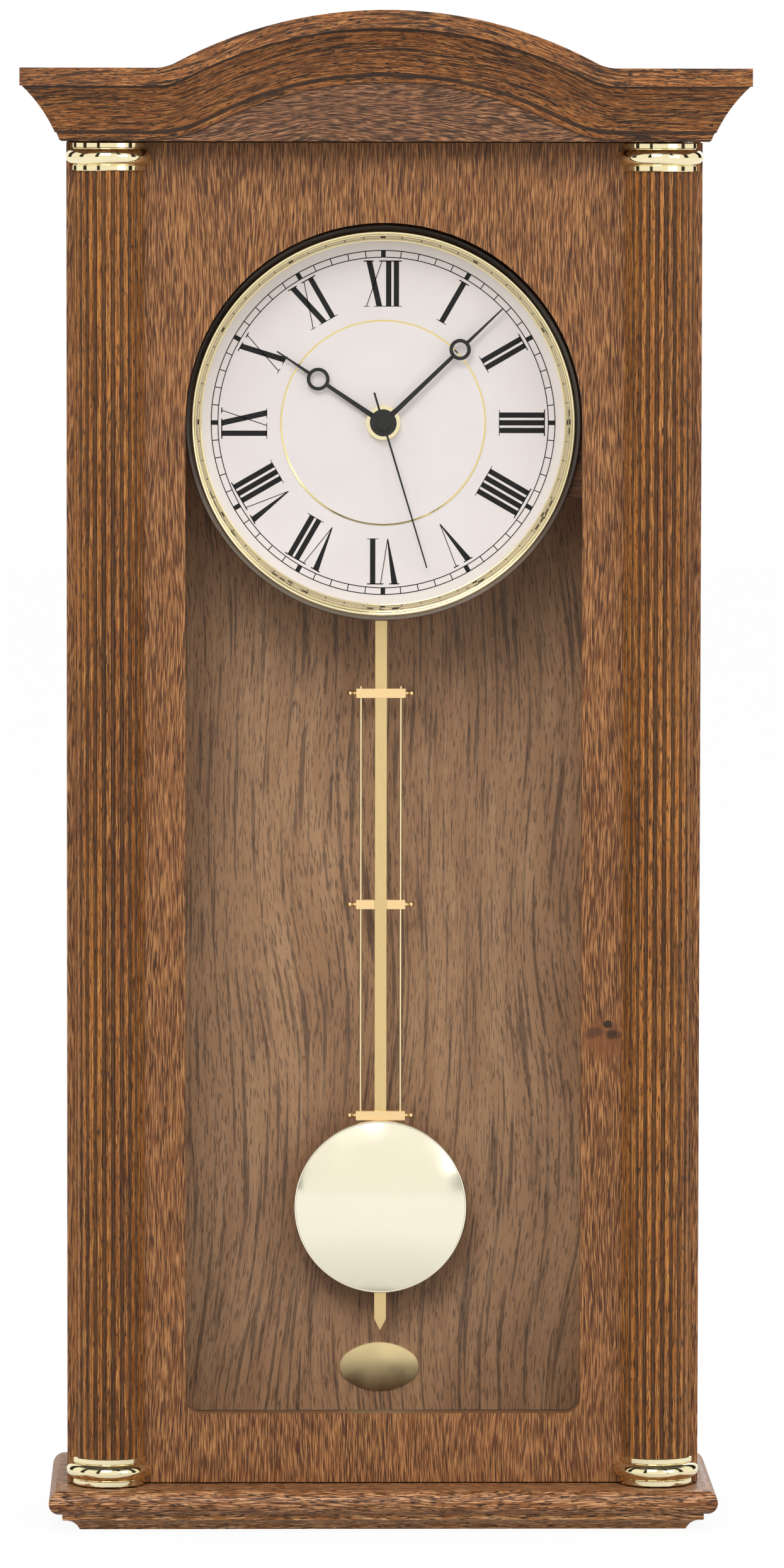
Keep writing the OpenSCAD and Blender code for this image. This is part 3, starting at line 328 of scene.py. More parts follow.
FIELD_CUT = {
    "tones": ("6F4227", "7E502F"), "light": "C48A5E", "dark": "2C180C",
    "bend": (16, 50, 20), "rings": (26, 1.5, 0.47, 0.6, 0.8),
    "pale": (7, 0.5, 0.45, 0.62, 1.0), "pores": (4.5, 0.38, 0.5, 0.62, 0.85),
}
BASE_CUT = {
    "tones": ("83502A", "986237"), "light": "DBA373", "dark": "2E190B",
    "bend": (9, 60, 20), "rings": (45, 1.2, 0.5, 0.64, 0.5),
    "pale": (9, 0.48, 0.46, 0.64, 1.0), "pores": (3.6, 0.38, 0.52, 0.62, 0.95),
}
# Broad soft patches of lighter and darker stain: cell length and width, and the ends of the mask
DRIFT_LENGTH, DRIFT_WIDTH, DRIFT_LOW, DRIFT_HIGH = 120, 16, 0.35, 0.65
# The lacquer fills the pores until they are only a tenth of a millimetre deep.
PORE_DEPTH, PORE_STRENGTH = 0.12, 0.35
# Satin lacquer: a thin coat over wood that shines little by itself
LACQUER = {"Roughness": 0.45, "Specular_IOR_Level": 0.3, "Coat_Weight": 0.06}


def oak_layers(tree, place, along, across, cut):
    """Colour and pore mask of one cut of oak."""
    grain = bent(tree, place, along, across, *cut["bend"])
    cells = grain_size(DRIFT_LENGTH, DRIFT_WIDTH, along)
    colour = laid_over(tree, blotches(tree, grain, cells, DRIFT_LOW, DRIFT_HIGH), *cut["tones"])
    for seed, key in ((3.1, "rings"), (7.7, "pale"), (12.3, "pores")):
        length, width, low, high, strength = cut[key]
        mask = blotches(tree, grain, grain_size(length, width, along), low, high, seed, 1.0)
        tint = cut["light"] if key == "pale" else cut["dark"]
        colour = laid_over(tree, mask, colour, tint, strength)
    return colour, mask


def oak(name, along, across, cut=FLAT_CUT, shade=None, **changes):
    """Stained oak: along is the grain's axis, across the other axis of the board's widest face."""
    material, tree, shader = surface(name, Coat_Roughness=0.2, **LACQUER)
    place = add(tree, "TexCoord").outputs["Object"]
    colour, pores = oak_layers(tree, place, along, across, dict(cut, **changes))
    if shade:
        colour = shade(tree, place, colour)
    tree.links.new(colour, shader.inputs["Base Color"])
    relief = {"Height": pores, "Strength": PORE_STRENGTH, "Distance": PORE_DEPTH * MM}
    bump = add(tree, "Bump", relief, invert=True)
    tree.links.new(bump.outputs[0], shader.inputs["Normal"])
    return material


print("pores", FLAT_CUT["pores"][1], "mm wide on the door")

# %% [markdown]
# ### The door's knot, the sides and the base
# The door's board has one pin knot, where a twig once grew: dark eyes in a ring of smooth wood, in
# which the pores fade. A knot could be a disc of its own, but as a stain in the material it follows
# the wood. Each of its marks is a flattened distance from one place, made ragged by noise.

# %% Door, sides and base
# Each mark of the knot: x, z and half width in mm, how flat it lies, its strength and its colour
KNOT = (
    (95, 210, 12, 1.1, 0.75, "85502C"),
    (90, 213, 5.2, 1.7, 0.6, "3A2415"),
    (99, 212.5, 4.4, 1.8, 0.8, "2A170B"),
    (96.3, 216.5, 1.9, 1.2, 0.9, "1A0D05"),
)
# How ragged the marks are, in mm, and how much a mark fades with depth into the board
RAGGED, INTO_BOARD = 5, 0.2


def knotted(tree, place, colour):
    """The knot low on the right of the door."""
    noise = add(tree, "TexNoise", {"Vector": place, "Scale": 300.0, "Detail": 1.0})
    centred = add(tree, "Math", {0: noise, 1: 0.5}, operation="SUBTRACT")
    for x, z, half, flat, strength, mark in KNOT:
        centre = (x * MM, door_front, z * MM)
        offset = add(tree, "VectorMath", {0: place, 1: centre}, operation="SUBTRACT")
        squash = (1.0, INTO_BOARD, flat)
        squashed = add(tree, "VectorMath", {0: offset, 1: squash}, operation="MULTIPLY")
        distance = add(tree, "VectorMath", {0: squashed}, operation="LENGTH").outputs["Value"]
        uneven = {0: centred, 1: RAGGED * MM, 2: distance}
        reach = add(tree, "Math", uneven, operation="MULTIPLY_ADD")
        fade = {0: reach, 1: half / 2 * MM, 2: half * MM, 3: strength, 4: 0.0}
        mask = add(tree, "MapRange", fade)
        colour = laid_over(tree, mask, colour, mark)
    return colour


# A flat sawn board: even, fine and calm, with its grain upright
door_oak = oak("stained_oak_door", Z, X, FLAT_CUT, knotted)
# Solid sides sawn towards the heart: long straight lines, warmer than the door
side_oak = oak("stained_oak_sides", Z, Y, LONG_CUT)
# The base is a level board, lively on its front edge.
base_oak = oak("stained_oak_base", X, Z, BASE_CUT)
# The cove under it faces down and would look too dark in its own shade, so it gets paler
# colours: painted light.
cove_painted_light_tones = {"tones": ("AB6E38", "BF8048"), "light": "F0BE8C", "dark": "4A2C16"}
cove_oak_painted_light = oak("stained_oak_base_cove_painted_light", X, Z, BASE_CUT, **cove_painted_light_tones)
print("oak for door, sides and base, with a knot of", len(KNOT), "marks")

# %% [markdown]
# ### Painted shade in the flutes
# The flutes of the columns are painted darker than the ridges between them, as painted shade
# that the soft lamps alone give too faintly. Ambient occlusion could find such places, but it
# isn't kept in an exported model. In a turned column the depth of a point is simply its distance
# from the axis, so that distance makes the mask.

# %% Columns
COLUMN_X, SHAFT_R = 117.6, 15.0
# The painted shade starts this deep below the ridges and comes in over a soft edge, both in mm.
SHADE_DEPTH, SHADE_EDGE = 0.55, 0.4
# Colour of the painted shade, in the flutes and in the lines at the crown's steps
PAINTED_SHADE = "2C1F16"


def band(tree, value, low, high, soft):
    """A mask that is white where a value lies between low and high mm, with soft edges."""
    rise = add(tree, "MapRange", {0: value, 1: (low - soft) * MM, 2: low * MM})
    fall = add(tree, "MapRange", {0: value, 1: high * MM, 2: (high + soft) * MM, 3: 1.0, 4: 0.0})
    return add(tree, "Math", {0: rise, 1: fall}, operation="MULTIPLY").outputs[0]


def flutes_painted_shade(tree, place, colour):
    """Painted shade in the flutes of both columns."""
    part = add(tree, "SeparateXYZ", {0: place}).outputs
    side = add(tree, "Math", {0: part["X"]}, operation="ABSOLUTE")
    level = add(tree, "CombineXYZ", {0: side, 1: part["Y"]})
    axis = (COLUMN_X * MM, door_front, 0)
    radius = add(tree, "VectorMath", {0: level, 1: axis}, operation="DISTANCE").outputs["Value"]
    deep = band(tree, radius, 0, SHAFT_R - SHADE_DEPTH, SHADE_EDGE)
    return laid_over(tree, deep, colour, PAINTED_SHADE, 0.72)


# Turned from straight grained stock, so that the flutes don't tear: long even lines
column_oak = oak("stained_oak_columns_painted_shade", Z, X, LONG_CUT, flutes_painted_shade)
print("columns at", COLUMN_X, "mm to each side")

# %% [markdown]
# ### The crown
# The crown's front is a moulding that bends over the arch, with a flat field behind it. With level
# grain the moulding would look sawn from a plank, but on the real one the grain runs round with it.
# Its height is therefore measured from the crown's outline, which is the higher of the shoulder and
# the arch. The field is another board with level, lively grain. The steps of the moulding get
# lines of painted shade, as the flutes do, and there depth is plain distance from front to back.

# %% Crown
crown_low, crown_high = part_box("pediment")
ARCH_RADIUS = 188.2 * MM
ARCH_CENTRE = crown_high.z - ARCH_RADIUS
SHOULDER_Z = 625.5 * MM
# Where the arch meets the shoulder, the two outlines run together over this distance.
RUN_TOGETHER = 10 * MM
# Depths of the three lines of painted shade, from the clock's middle: under the flat band, at the
# fillet and at the field
SHADE_LINES_Y = ((-64.7, -63.2), (-50.7, -49.5), (-48.5, -48.0))
SHADE_LINE_EDGE, SHADE_LINE_STRENGTH = 0.15, 0.85
FIELD_Y = -48.2


def along_outline(tree, place):
    """Coordinates whose height starts at the crown's outline, so that level grain follows it."""
    part = add(tree, "SeparateXYZ", {0: place}).outputs
    square = add(tree, "Math", {0: part["X"], 1: part["X"]}, operation="MULTIPLY")
    rest = add(tree, "Math", {0: ARCH_RADIUS**2, 1: square}, operation="SUBTRACT")
    inside = add(tree, "Math", {0: rest, 1: 0.0}, operation="MAXIMUM")
    rise = add(tree, "Math", {0: inside}, operation="SQRT")
    arch = add(tree, "Math", {0: rise, 1: ARCH_CENTRE}, operation="ADD")
    outline = add(tree, "Math", {0: arch, 1: SHOULDER_Z, 2: RUN_TOGETHER}, operation="SMOOTH_MAX")
    height = add(tree, "Math", {0: part["Z"], 1: outline}, operation="SUBTRACT")
    return add(tree, "CombineXYZ", {0: part["X"], 1: part["Y"], 2: height}).outputs[0]


def crown_finish():
    """Oak for the crown's front: moulding in front, field behind, lines of painted shade at the
    steps.
    """
    material, tree, shader = surface("stained_oak_crown_painted_shade", **LACQUER)
    place = add(tree, "TexCoord").outputs["Object"]
    depth = add(tree, "SeparateXYZ", {0: place}).outputs["Y"]
    moulding, moulding_pores = oak_layers(tree, along_outline(tree, place), X, Z, CROWN_CUT)
    field, field_pores = oak_layers(tree, place, X, Z, FIELD_CUT)
    behind = add(tree, "Math", {0: depth, 1: FIELD_Y * MM}, operation="GREATER_THAN").outputs[0]
    colour = laid_over(tree, behind, moulding, field)
    # A line of painted shade where the moulding steps back
    for low, high in SHADE_LINES_Y:
        line = band(tree, depth, low, high, SHADE_LINE_EDGE)
        colour = laid_over(tree, line, colour, PAINTED_SHADE, SHADE_LINE_STRENGTH)
    tree.links.new(colour, shader.inputs["Base Color"])
    pores = add(tree, "Mix", {0: behind, 2: moulding_pores, 3: field_pores})
    relief = {"Height": pores, "Strength": PORE_STRENGTH, "Distance": PORE_DEPTH * MM}
    bump = add(tree, "Bump", relief, invert=True)
    tree.links.new(bump.outputs[0], shader.inputs["Normal"])
    return material


def return_shade_lines(tree, place, colour):
    """The same lines of painted shade on the returns, where the moulding's depth runs sideways."""
    part = add(tree, "SeparateXYZ", {0: place}).outputs
    side = add(tree, "Math", {0: part["X"]}, operation="ABSOLUTE")
    edge = (crown_high.x + crown_low.y) / MM
    for low, high in SHADE_LINES_Y:
        line = band(tree, side, edge - high, edge - low, SHADE_LINE_EDGE)
        colour = laid_over(tree, line, colour, PAINTED_SHADE, SHADE_LINE_STRENGTH)
    return colour


# Moulding and field are one CAD solid but two boards, so one material holds both.
crown_oak = crown_finish()
# The returns run from front to back, and so does their grain.
return_oak = oak("stained_oak_returns_painted_shade", Y, Z, CROWN_CUT, return_shade_lines)
print("crown's arch has a radius of", round(ARCH_RADIUS / MM, 1), "mm")

# %% [markdown]
# ### Veneer, fibreboard and pine
# The back panel is thin veneered board, greyer than the case, with a wide flowing figure. The
# carrier behind the dial is stained fibreboard, and the rail and cleats that never show from the
# front are plain pine. They could all share one brown, but through the glass the panel is the
# largest surface of the clock, so it gets its own broad bends. The panel's figure and pores are
# about twice as coarse as real ones, or they would not show.

# %% Plainer woods
PANEL = {
    "tones": ("A37A58", "B28864"), "light": "C79F7A", "dark": "45362D",
    "bend": (34, 150, 75), "rings": (60, 2.0, 0.54, 0.64, 0.6),
    "pale": (40, 3.0, 0.5, 0.7, 0.3), "pores": (6.0, 0.5, 0.57, 0.62, 0.6),
}
PINE = {
    "tones": ("C79E6B", "D8B280"), "light": "E3C596", "dark": "A87B47",
    "bend": FLAT_CUT["bend"], "rings": (90, 2.5, 0.5, 0.65, 0.5),
    "pale": (30, 1, 0.5, 0.7, 0.3), "pores": (12, 0.5, 0.6, 0.64, 0.25),
}
# Sliced veneer under a thin grey brown stain: flowing lines on a quiet ground
panel_veneer = oak("oak_veneer_panel", Z, X, PANEL)
# The top board's veneer runs from side to side, straight and warm.
top_veneer = oak("oak_veneer_top", X, Y, LONG_CUT)
# Fibreboard has no grain of its own, only the brush's; its colours are close together.
fibreboard = {"tones": ("6B3F24", "7B4A2B"), "light": "94623C", "dark": "4A2A18"}
carrier_board = oak("stained_fibreboard", X, Z, **fibreboard)
# The bead that holds the pane is nearly black, a thin dark line round the glass.
bead_tones = {"tones": ("463F38", "4F4740"), "light": "5D5347", "dark": "35302C"}
dark_bead = oak("dark_glazing_bead", X, Z, **bead_tones)
# Unstained softwood: yellow, with soft wide rings
plain_pine = oak("plain_pine", X, Z, PINE)
print("plainer woods:", panel_veneer.name, top_veneer.name, carrier_board.name, plain_pine.name)

# %% [markdown]
# ## Brass and steel
# The bezel, the capitals and the bob are brass, polished and lacquered, which keeps it pale. The
# rod and the crossbars are brushed, so their highlights are wide. Scratches could be modelled one
# by one, but at this size only their effect shows: roughness that varies a little from place to
# place, and a faint bump along the brush's way. Brush marks are drawn a quarter of a millimetre
# wide, several times as coarse as real ones, so that they show at all.


# %% Metals
BRUSH_WIDTH, CLOUD = 0.25, 14
WEAR = 0.04


def metal(name, colour, roughness, brush_mm=None, axis=Z):
    """A metal whose roughness varies a little, with brush marks of that length if it is brushed."""
    tint = linear(colour)
    material, tree, shader = surface(name, Metallic=1.0, Base_Color=tint, Roughness=roughness)
    place = add(tree, "TexCoord").outputs["Object"]
    size = grain_size(brush_mm, BRUSH_WIDTH, axis) if brush_mm else (CLOUD, CLOUD, CLOUD)
    marks = blotches(tree, place, size, 0.3, 0.7, 5.0)
    spread = add(tree, "MapRange", {0: marks, 3: roughness - WEAR, 4: roughness + WEAR})
    tree.links.new(spread.outputs[0], shader.inputs["Roughness"])
    if brush_mm:
        bump = add(tree, "Bump", {"Height": marks, "Strength": 0.15, "Distance": 0.02 * MM})
        tree.links.new(bump.outputs[0], shader.inputs["Normal"])
    return material


# Spun, polished and lacquered: a pale mirror with a straw tint
polished_brass = metal("polished_brass", "F4E7BE", 0.07)
# The bob's sheet is polished less, so the studio blurs into a cream gradient.
bob_brass = metal("polished_brass_bob", "F8F0DA", 0.12)
# A rolled sheet under lacquer: soft gold with wide reflections
plate_brass = metal("lacquered_brass_plate", "EAD3A0", 0.2)
# Brushed across: warm, with a wide highlight
satin_brass = metal("satin_brass", "F4D29C", 0.36, 12.0, X)
# Brushed along its length: an even light gold
rod_brass = metal("satin_brass_rod", "DDC18B", 0.3, 20.0, Z)
# Drawn through a die: smooth but not bright, paler than the rod
wire_brass = metal("drawn_brass_wire", "FBE9BC", 0.35)
# Cut and left bare: a deeper yellow
wheel_brass = metal("cut_brass_wheels", "D9B765", 0.28)
# Foil pressed into the dial: bright gold that darkens where it turns from the light
gilt_line = metal("gilt_line", "E9D38C", 0.12)
# Zinc plate on screws and hanger: a cool, slightly cloudy grey
zinc_steel = metal("zinc_plated_steel", "C9CACC", 0.32)
# Ground steel pins and springs: a sharper, darker grey
bright_steel = metal("bright_steel", "BFC1C4", 0.2)
# Enamelled copper wire: a red brown shine, with fine lines that are the turns of the coil
coil_copper = metal("enamelled_copper", "B5622F", 0.25, 4.0, X)
print("metals:", polished_brass.name, satin_brass.name, wheel_brass.name, zinc_steel.name)

# %% [markdown]
# ## Enamel, paint, plastic and glass
# The dial is white stove enamel with a satin face, and the hands and numerals are charcoal rather
# than black. The movement's case is moulded ABS with a fine spark-eroded texture. A coat this even
# could be one flat colour, but a real one is never quite even, so each has two close colours in
# soft patches. The texture's grit is drawn 0.4 mm wide, a few times as coarse as the real one, so
# that it shows.


# %% Coatings and plastics
def coating(name, colour, second, roughness, size_mm=18.0, grit_mm=0.0, **inputs):
    """A nearly even coat: two close colours in soft patches, and a fine texture if asked for."""
    material, tree, shader = surface(name, Roughness=roughness, **inputs)
    place = add(tree, "TexCoord").outputs["Object"]
    patches = blotches(tree, place, (size_mm, size_mm, size_mm), 0.3, 0.7, 2.0)
    tree.links.new(laid_over(tree, patches, colour, second), shader.inputs["Base Color"])
    if grit_mm:
        grit = blotches(tree, place, (grit_mm, grit_mm, grit_mm), 0.3, 0.7, 4.0)
        bump = add(tree, "Bump", {"Height": grit, "Strength": 0.2, "Distance": 0.03 * MM})
        tree.links.new(bump.outputs[0], shader.inputs["Normal"])
    return material


# Stove enamel on a steel disc: a satin white with a breath of pink
dial_enamel = coating("dial_enamel", "E7DEDC", "E3DAD8", 0.35, 40.0)
# Matt printing ink: charcoal without a shine
numeral_ink = coating("numeral_ink", "171615", "1D1C1B", 0.6, Specular_IOR_Level=0.2)
# Sprayed paint on stamped hands: a little softer than the ink
hand_paint = coating("hand_paint", "1B1A19", "232221", 0.45, Specular_IOR_Level=0.3)
# Grey brown on the bezel's skirt, as painted shade for the dark recess round the bezel; it lies in
# shade and there looks almost black
skirt_painted_shade = coating("skirt_painted_shade", "94897D", "A0948A", 0.5)
# Moulded ABS with a spark-eroded texture: black without a mirror
black_abs = coating("black_abs", "1B1B1C", "202021", 0.5, 10.0, 0.4)
# The same plastic in dark grey, for the knob
grey_abs = coating("grey_abs_knob", "3A3A3C", "404042", 0.45, 6.0, 0.4)
# Acetal wheels and button: waxy white
white_pom = coating("white_pom", "E6E4DC", "DEDCD3", 0.4)
# Acetal coil formers of the motors: amber
amber_pom = coating("amber_pom", "B0662B", "A35C24", 0.35)
# Solder resist on the circuit board: a glossy green
board_green = coating("solder_resist", "1E5B33", "236638", 0.3)
# Sintered ferrite of the antenna and the magnet: a dull dark grey
ferrite = coating("sintered_ferrite", "2C2C2E", "333336", 0.55)
# Shrink sleeve on the cell: a coppery yellow
cell_sleeve = coating("cell_sleeve", "B8862F", "A97A28", 0.3)
# Float glass shows only by its faint shine. Seven eighths of it let light straight through, and its
# IOR is near that of air, or what it bends would show as a ghost beside what it lets through.
GLASS = {"Roughness": 0.0, "IOR": 1.05, "Transmission_Weight": 1.0, "Alpha": 0.12}
clear_glass = surface("float_glass", Base_Color=linear("F6FBF9"), **GLASS)[0]
print("coatings:", dial_enamel.name, numeral_ink.name, black_abs.name, clear_glass.name)

# %% [markdown]
# ## Finishes of the CAD nodes
# Most nodes keep their CAD solid and take a finish. Sawn and sanded boards never have razor edges,
# and without a soft corner no edge of theirs would catch the light. The corners could be rounded in
# the CAD, at the price of a much heavier model. Here a Weld joins the loose triangles, a Bevel
# eases each corner by a fraction of a millimetre, and weighted normals keep the flat faces flat.

# %% Finish every node
# Finish, width of the eased corners in mm, and the nodes that have them
FINISHES = (
    (door_oak, 0.5, "door_board"),
    (side_oak, 0.5, "side_left side_right"),
    (column_oak, 0.0, "column_left column_right"),
    (base_oak, 0.3, "base_board"),
    (cove_oak_painted_light, 0.3, "base_moulding"),
    (crown_oak, 0.0, "pediment"),
    (return_oak, 0.0, "crown_return_left crown_return_right"),
    (carrier_board, 0.3, "dial_carrier backing_disc"),
    (dark_bead, 0.3, "glass_bead"),
    (panel_veneer, 0.0, "back_panel"),
    (top_veneer, 0.0, "top_board"),
    (plain_pine, 0.4, "hanging_rail carrier_cleats"),
    (zinc_steel, 0.1, "hanger_plate case_screws strike_plate"),
    (bright_steel, 0.0, "pivot_pins pendulum_axle pendulum_lever pendulum_hook battery_contacts"),
    (polished_brass, 0.0, "centre_nut capitals_top capitals_bottom bezel bob_front"),
    (plate_brass, 0.0, "oval_plate"),
    (rod_brass, 0.12, "pendulum_rod"),
    (satin_brass, 0.0, "crossbars bob_back"),
    (wire_brass, 0.0, "side_wires"),
    (wheel_brass, 0.0, "pivot_bushes hour_wheel cannon_wheel second_wheel setting_wheel"),
    (dial_enamel, 0.0, "dial_plate"),
    (hand_paint, 0.0, "hour_hand minute_hand second_hand"),
    (black_abs, 0.4, "movement_front movement_back pendulum_housing magnet_catch"),
    (grey_abs, 0.0, "setting_knob"),
    (white_pom, 0.0, "second_pinion minute_pinion set_button"),
    (amber_pom, 0.0, "second_motor minute_motor"),
    (coil_copper, 0.0, "drive_coil"),
    (board_green, 0.0, "circuit_board"),
    (ferrite, 0.0, "antenna lever_magnet"),
    (cell_sleeve, 0.0, "battery"),
    (clear_glass, 0.0, "door_glass"),
)
WELD_DISTANCE = 0.001 * MM
CORNER_ANGLE = math.radians(40)


def ease_edges(node, width_mm):
    """Rounds a CAD node's corners by a width in mm, with live modifiers."""
    node.data.shade_smooth()
    node.modifiers.new("weld", "WELD").merge_threshold = WELD_DISTANCE
    bevel = node.modifiers.new("ease", "BEVEL")
    bevel.width = width_mm * MM
    bevel.segments = 2
    bevel.limit_method = "ANGLE"
    bevel.angle_limit = CORNER_ANGLE
    node.modifiers.new("shade", "WEIGHTED_NORMAL")


for finish, eased_mm, names in FINISHES:
    for name in names.split():
        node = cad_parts[name]
        node.data.materials.clear()
        node.data.materials.append(finish)
        if eased_mm:
            ease_edges(node, eased_mm)
print("finished", sum(len(names.split()) for _, _, names in FINISHES), "nodes")

# %% [markdown]
# ## Turned brass
# The bezel and the capitals are spun on a lathe, so each starts as a section that bmesh spins round
# an axis. A Screw modifier would do it too, but spin leaves a finished mesh that can be joined and
# moved into place. The section is drawn in millimetres as pairs of radius and height. Sharp turns
# in it stay sharp, and the round beads come from short steps of one arc.


# %% Turning a section
MERGE_DISTANCE = 0.0005 * MM


def arc(centre_r, centre_h, radius_r, radius_h, start, stop, steps):
    """Points on an elliptical arc, angles in degrees from the outward direction."""
    points = []
    for i in range(steps + 1):
        angle = math.radians(start + (stop - start) * i / steps)
        outwards = radius_r * math.cos(angle)
        upwards = radius_h * math.sin(angle)
        points.append((centre_r + outwards, centre_h + upwards))
    return points


def turned(section, turn_degrees, steps):
    """A bmesh turned about Z from a closed section of (radius, height) in mm, starting along -X."""
    bm = bmesh.new()
    ring = [bm.verts.new((-r * MM, 0, h * MM)) for r, h in section]
    whole = turn_degrees == 360
    if whole:
        geometry = [bm.edges.new((a, b)) for a, b in zip(ring, ring[1:] + ring[:1])] + ring
    else:
        geometry = [bm.faces.new(ring)] + list(bm.edges) + ring
    bmesh.ops.spin(
        bm, geom=geometry, cent=(0, 0, 0), axis=(0, 0, 1), dvec=(0, 0, 0),
        angle=math.radians(turn_degrees), steps=steps, use_merge=whole, use_duplicate=False,
    )
    bmesh.ops.remove_doubles(bm, verts=bm.verts, dist=MERGE_DISTANCE)
    bmesh.ops.recalc_face_normals(bm, faces=bm.faces)
    return bm


def settle(name, bm, body, finish, replaced=(), sharp_degrees=30):
    """Makes a bmesh a smooth-shaded piece with a finish, which rides on a body."""
    made = new_object(name, bm)
    made.data.materials.append(finish)
    made.data.shade_smooth()
    made.data.set_sharp_from_angle(angle=math.radians(sharp_degrees))
    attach(made, body)
    if replaced:
        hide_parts(*replaced)
    print(name, len(made.data.polygons), "faces")


# Turns a piece made on the lathe's upright axis to face the front
FACE_FRONT = Matrix.Rotation(math.radians(90), 4, "X")
quarter = arc(0, 0, 1, 1, 0, 90, 2)
print("a quarter of a bead:", [(round(r, 2), round(h, 2)) for r, h in quarter])

# %% [markdown]
# ### Bezel
# The bezel is a brass ring over the dial's edge: a slope that mirrors the minute track, a wall, a
# small bead and a round rim. A skirt goes round its foot, coloured grey brown as painted shade for
# the dark recess between bezel and door. One section with two materials would be possible, but
# ring and skirt meet in a sharp line, so they are two pieces.

# %% Bezel
# Radii of the opening, the wall and the rim, and the skirt's height
SHOW_R, WALL_R, RIM_R, SKIRT_H = 78.0, 80.2, 82.75, 3.0
BEZEL_R = round((bezel_high.x - bezel_low.x) / 2 / MM, 3)
DEPTH = round((bezel_high.y - bezel_low.y) / MM, 3)
# Heights above the carrier: the seat on the dial, the opening's lip, the top of the slope, and the
# step after it
SEAT_H, LIP_H, SLOPE_H, STEP_H = 1.02, 1.3, 3.95, 3.8
# Radius of the opening's lip and of the skirt's edge, and how far each step stands back
LIP_R, SKIRT_EDGE, STEP_W = 0.22, 0.8, 0.05
# Half width and half height of the small bead and of the rim, and the bead's foot below the top
BEAD_R, BEAD_H, ROUND_R, ROUND_H, BEAD_FOOT = 0.4, 0.45, 0.92, 1.0, 1.1
BEZEL_STEPS = 256
section = [(SHOW_R, SEAT_H)]
section += arc(SHOW_R + LIP_R, LIP_H, LIP_R, LIP_R, 180, 60, 5)
section += [(WALL_R, SLOPE_H), (WALL_R + STEP_W, STEP_H), (WALL_R + 2 * STEP_W, DEPTH - BEAD_FOOT)]
section += arc(WALL_R + 2 * STEP_W + BEAD_R, DEPTH - 0.95, BEAD_R, BEAD_H, 170, 30, 8)
section += arc(RIM_R - ROUND_R, DEPTH - ROUND_H, ROUND_R, ROUND_H, 165, 0, 16)
section += [(RIM_R, 0.0), (WALL_R, 0.0), (WALL_R, SEAT_H)]
skirt = [(RIM_R - 0.1, 0.0), (RIM_R - 0.1, SKIRT_H - 0.7), (RIM_R + 0.25, SKIRT_H - 0.45)]
skirt += arc(BEZEL_R - SKIRT_EDGE, SKIRT_H - SKIRT_EDGE, SKIRT_EDGE, SKIRT_EDGE, 110, 0, 8)
skirt += [(BEZEL_R, 0.0)]
over_dial = Matrix.Translation((0, bezel_high.y, hands_axis)) @ FACE_FRONT
turnings = (("bezel_ring", section, polished_brass), ("bezel_skirt", skirt, skirt_painted_shade))
for name, profile, finish in turnings:
    bm = turned(profile, 360, BEZEL_STEPS)
    bmesh.ops.transform(bm, matrix=over_dial, verts=bm.verts)
    settle(name, bm, "case", finish, ["bezel"], 35)

# %% [markdown]
# ### Capitals
# Each column ends in a turned capital: a flat ring, a fat round torus and a second ring. They are
# cut in half, because they sit on the door's face. A whole one could be turned and sliced, but half
# a turn gives the same in one step. The two of a row are one piece, as in the CAD.

# %% Capitals
# Radii and heights of the rings and the torus, and the rings' eased corner
RING_R, TORUS_R, RING_H, TORUS_H, EASE = 15.9, 18.3, 2.4, 7.2, 0.25
bead = TORUS_H / 2
total = 2 * RING_H + TORUS_H
section = [(0, 0), (RING_R - EASE, 0), (RING_R, EASE)]
section += [(RING_R, RING_H - EASE), (RING_R - EASE, RING_H)]
section += arc(TORUS_R - bead, RING_H + bead, bead, bead, -75, 75, 24)
section += [(RING_R - EASE, total - RING_H), (RING_R, total - RING_H + EASE)]
section += [(RING_R, total - EASE), (RING_R - EASE, total), (0, total)]
for node in ("capitals_top", "capitals_bottom"):
    low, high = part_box(node)
    joined = bmesh.new()
    for x in (low.x + TORUS_R * MM, high.x - TORUS_R * MM):
        half = turned(section, 180, 72)
        on_door = Matrix.Translation((x, door_front, low.z))
        bmesh.ops.transform(half, matrix=on_door, verts=half.verts)
        spare = bpy.data.meshes.new("spare")
        half.to_mesh(spare)
        joined.from_mesh(spare)
        half.free()
        bpy.data.meshes.remove(spare)
    settle("turned_" + node, joined, "door", polished_brass, [node], 35)

# %% [markdown]
# ### The bob
# The front of the bob is pressed from sheet and has a narrow flat lip round the dome. A scaled
# sphere would bend too much at its edge. The real dome is one shallow arc, so its radius is worked
# out from its width and height, and the studio shows in it as a soft gradient.

# %% Bob
BOB_R = round((bob_high.x - bob_low.x) / 2 / MM, 3)
DOME = round((bob_high.y - bob_low.y) / MM, 3)
# The lip's width, and how far the dome's foot stands above its back
LIP, FOOT = 0.9, 0.35
DOME_STEPS = 40
dome_r = BOB_R - LIP
ball = (dome_r**2 + (DOME - FOOT) ** 2) / (2 * (DOME - FOOT))
edge = math.degrees(math.asin(dome_r / ball))
section = [(0.0, DOME)]
section += arc(0, DOME - ball, ball, ball, 90 - edge / DOME_STEPS, 90 - edge, DOME_STEPS - 1)
section += [(dome_r + 0.1, 0.22), (BOB_R - 0.3, 0.32), (BOB_R - 0.05, 0.15)]
section += [(BOB_R, 0.0), (0.0, 0.0)]
bm = turned(section, 360, 160)
at_bob = Matrix.Translation((0, bob_high.y, bob_centre)) @ FACE_FRONT
bmesh.ops.transform(bm, matrix=at_bob, verts=bm.verts)
settle("bob_dome", bm, "pendulum", bob_brass, ["bob_front"], 20)

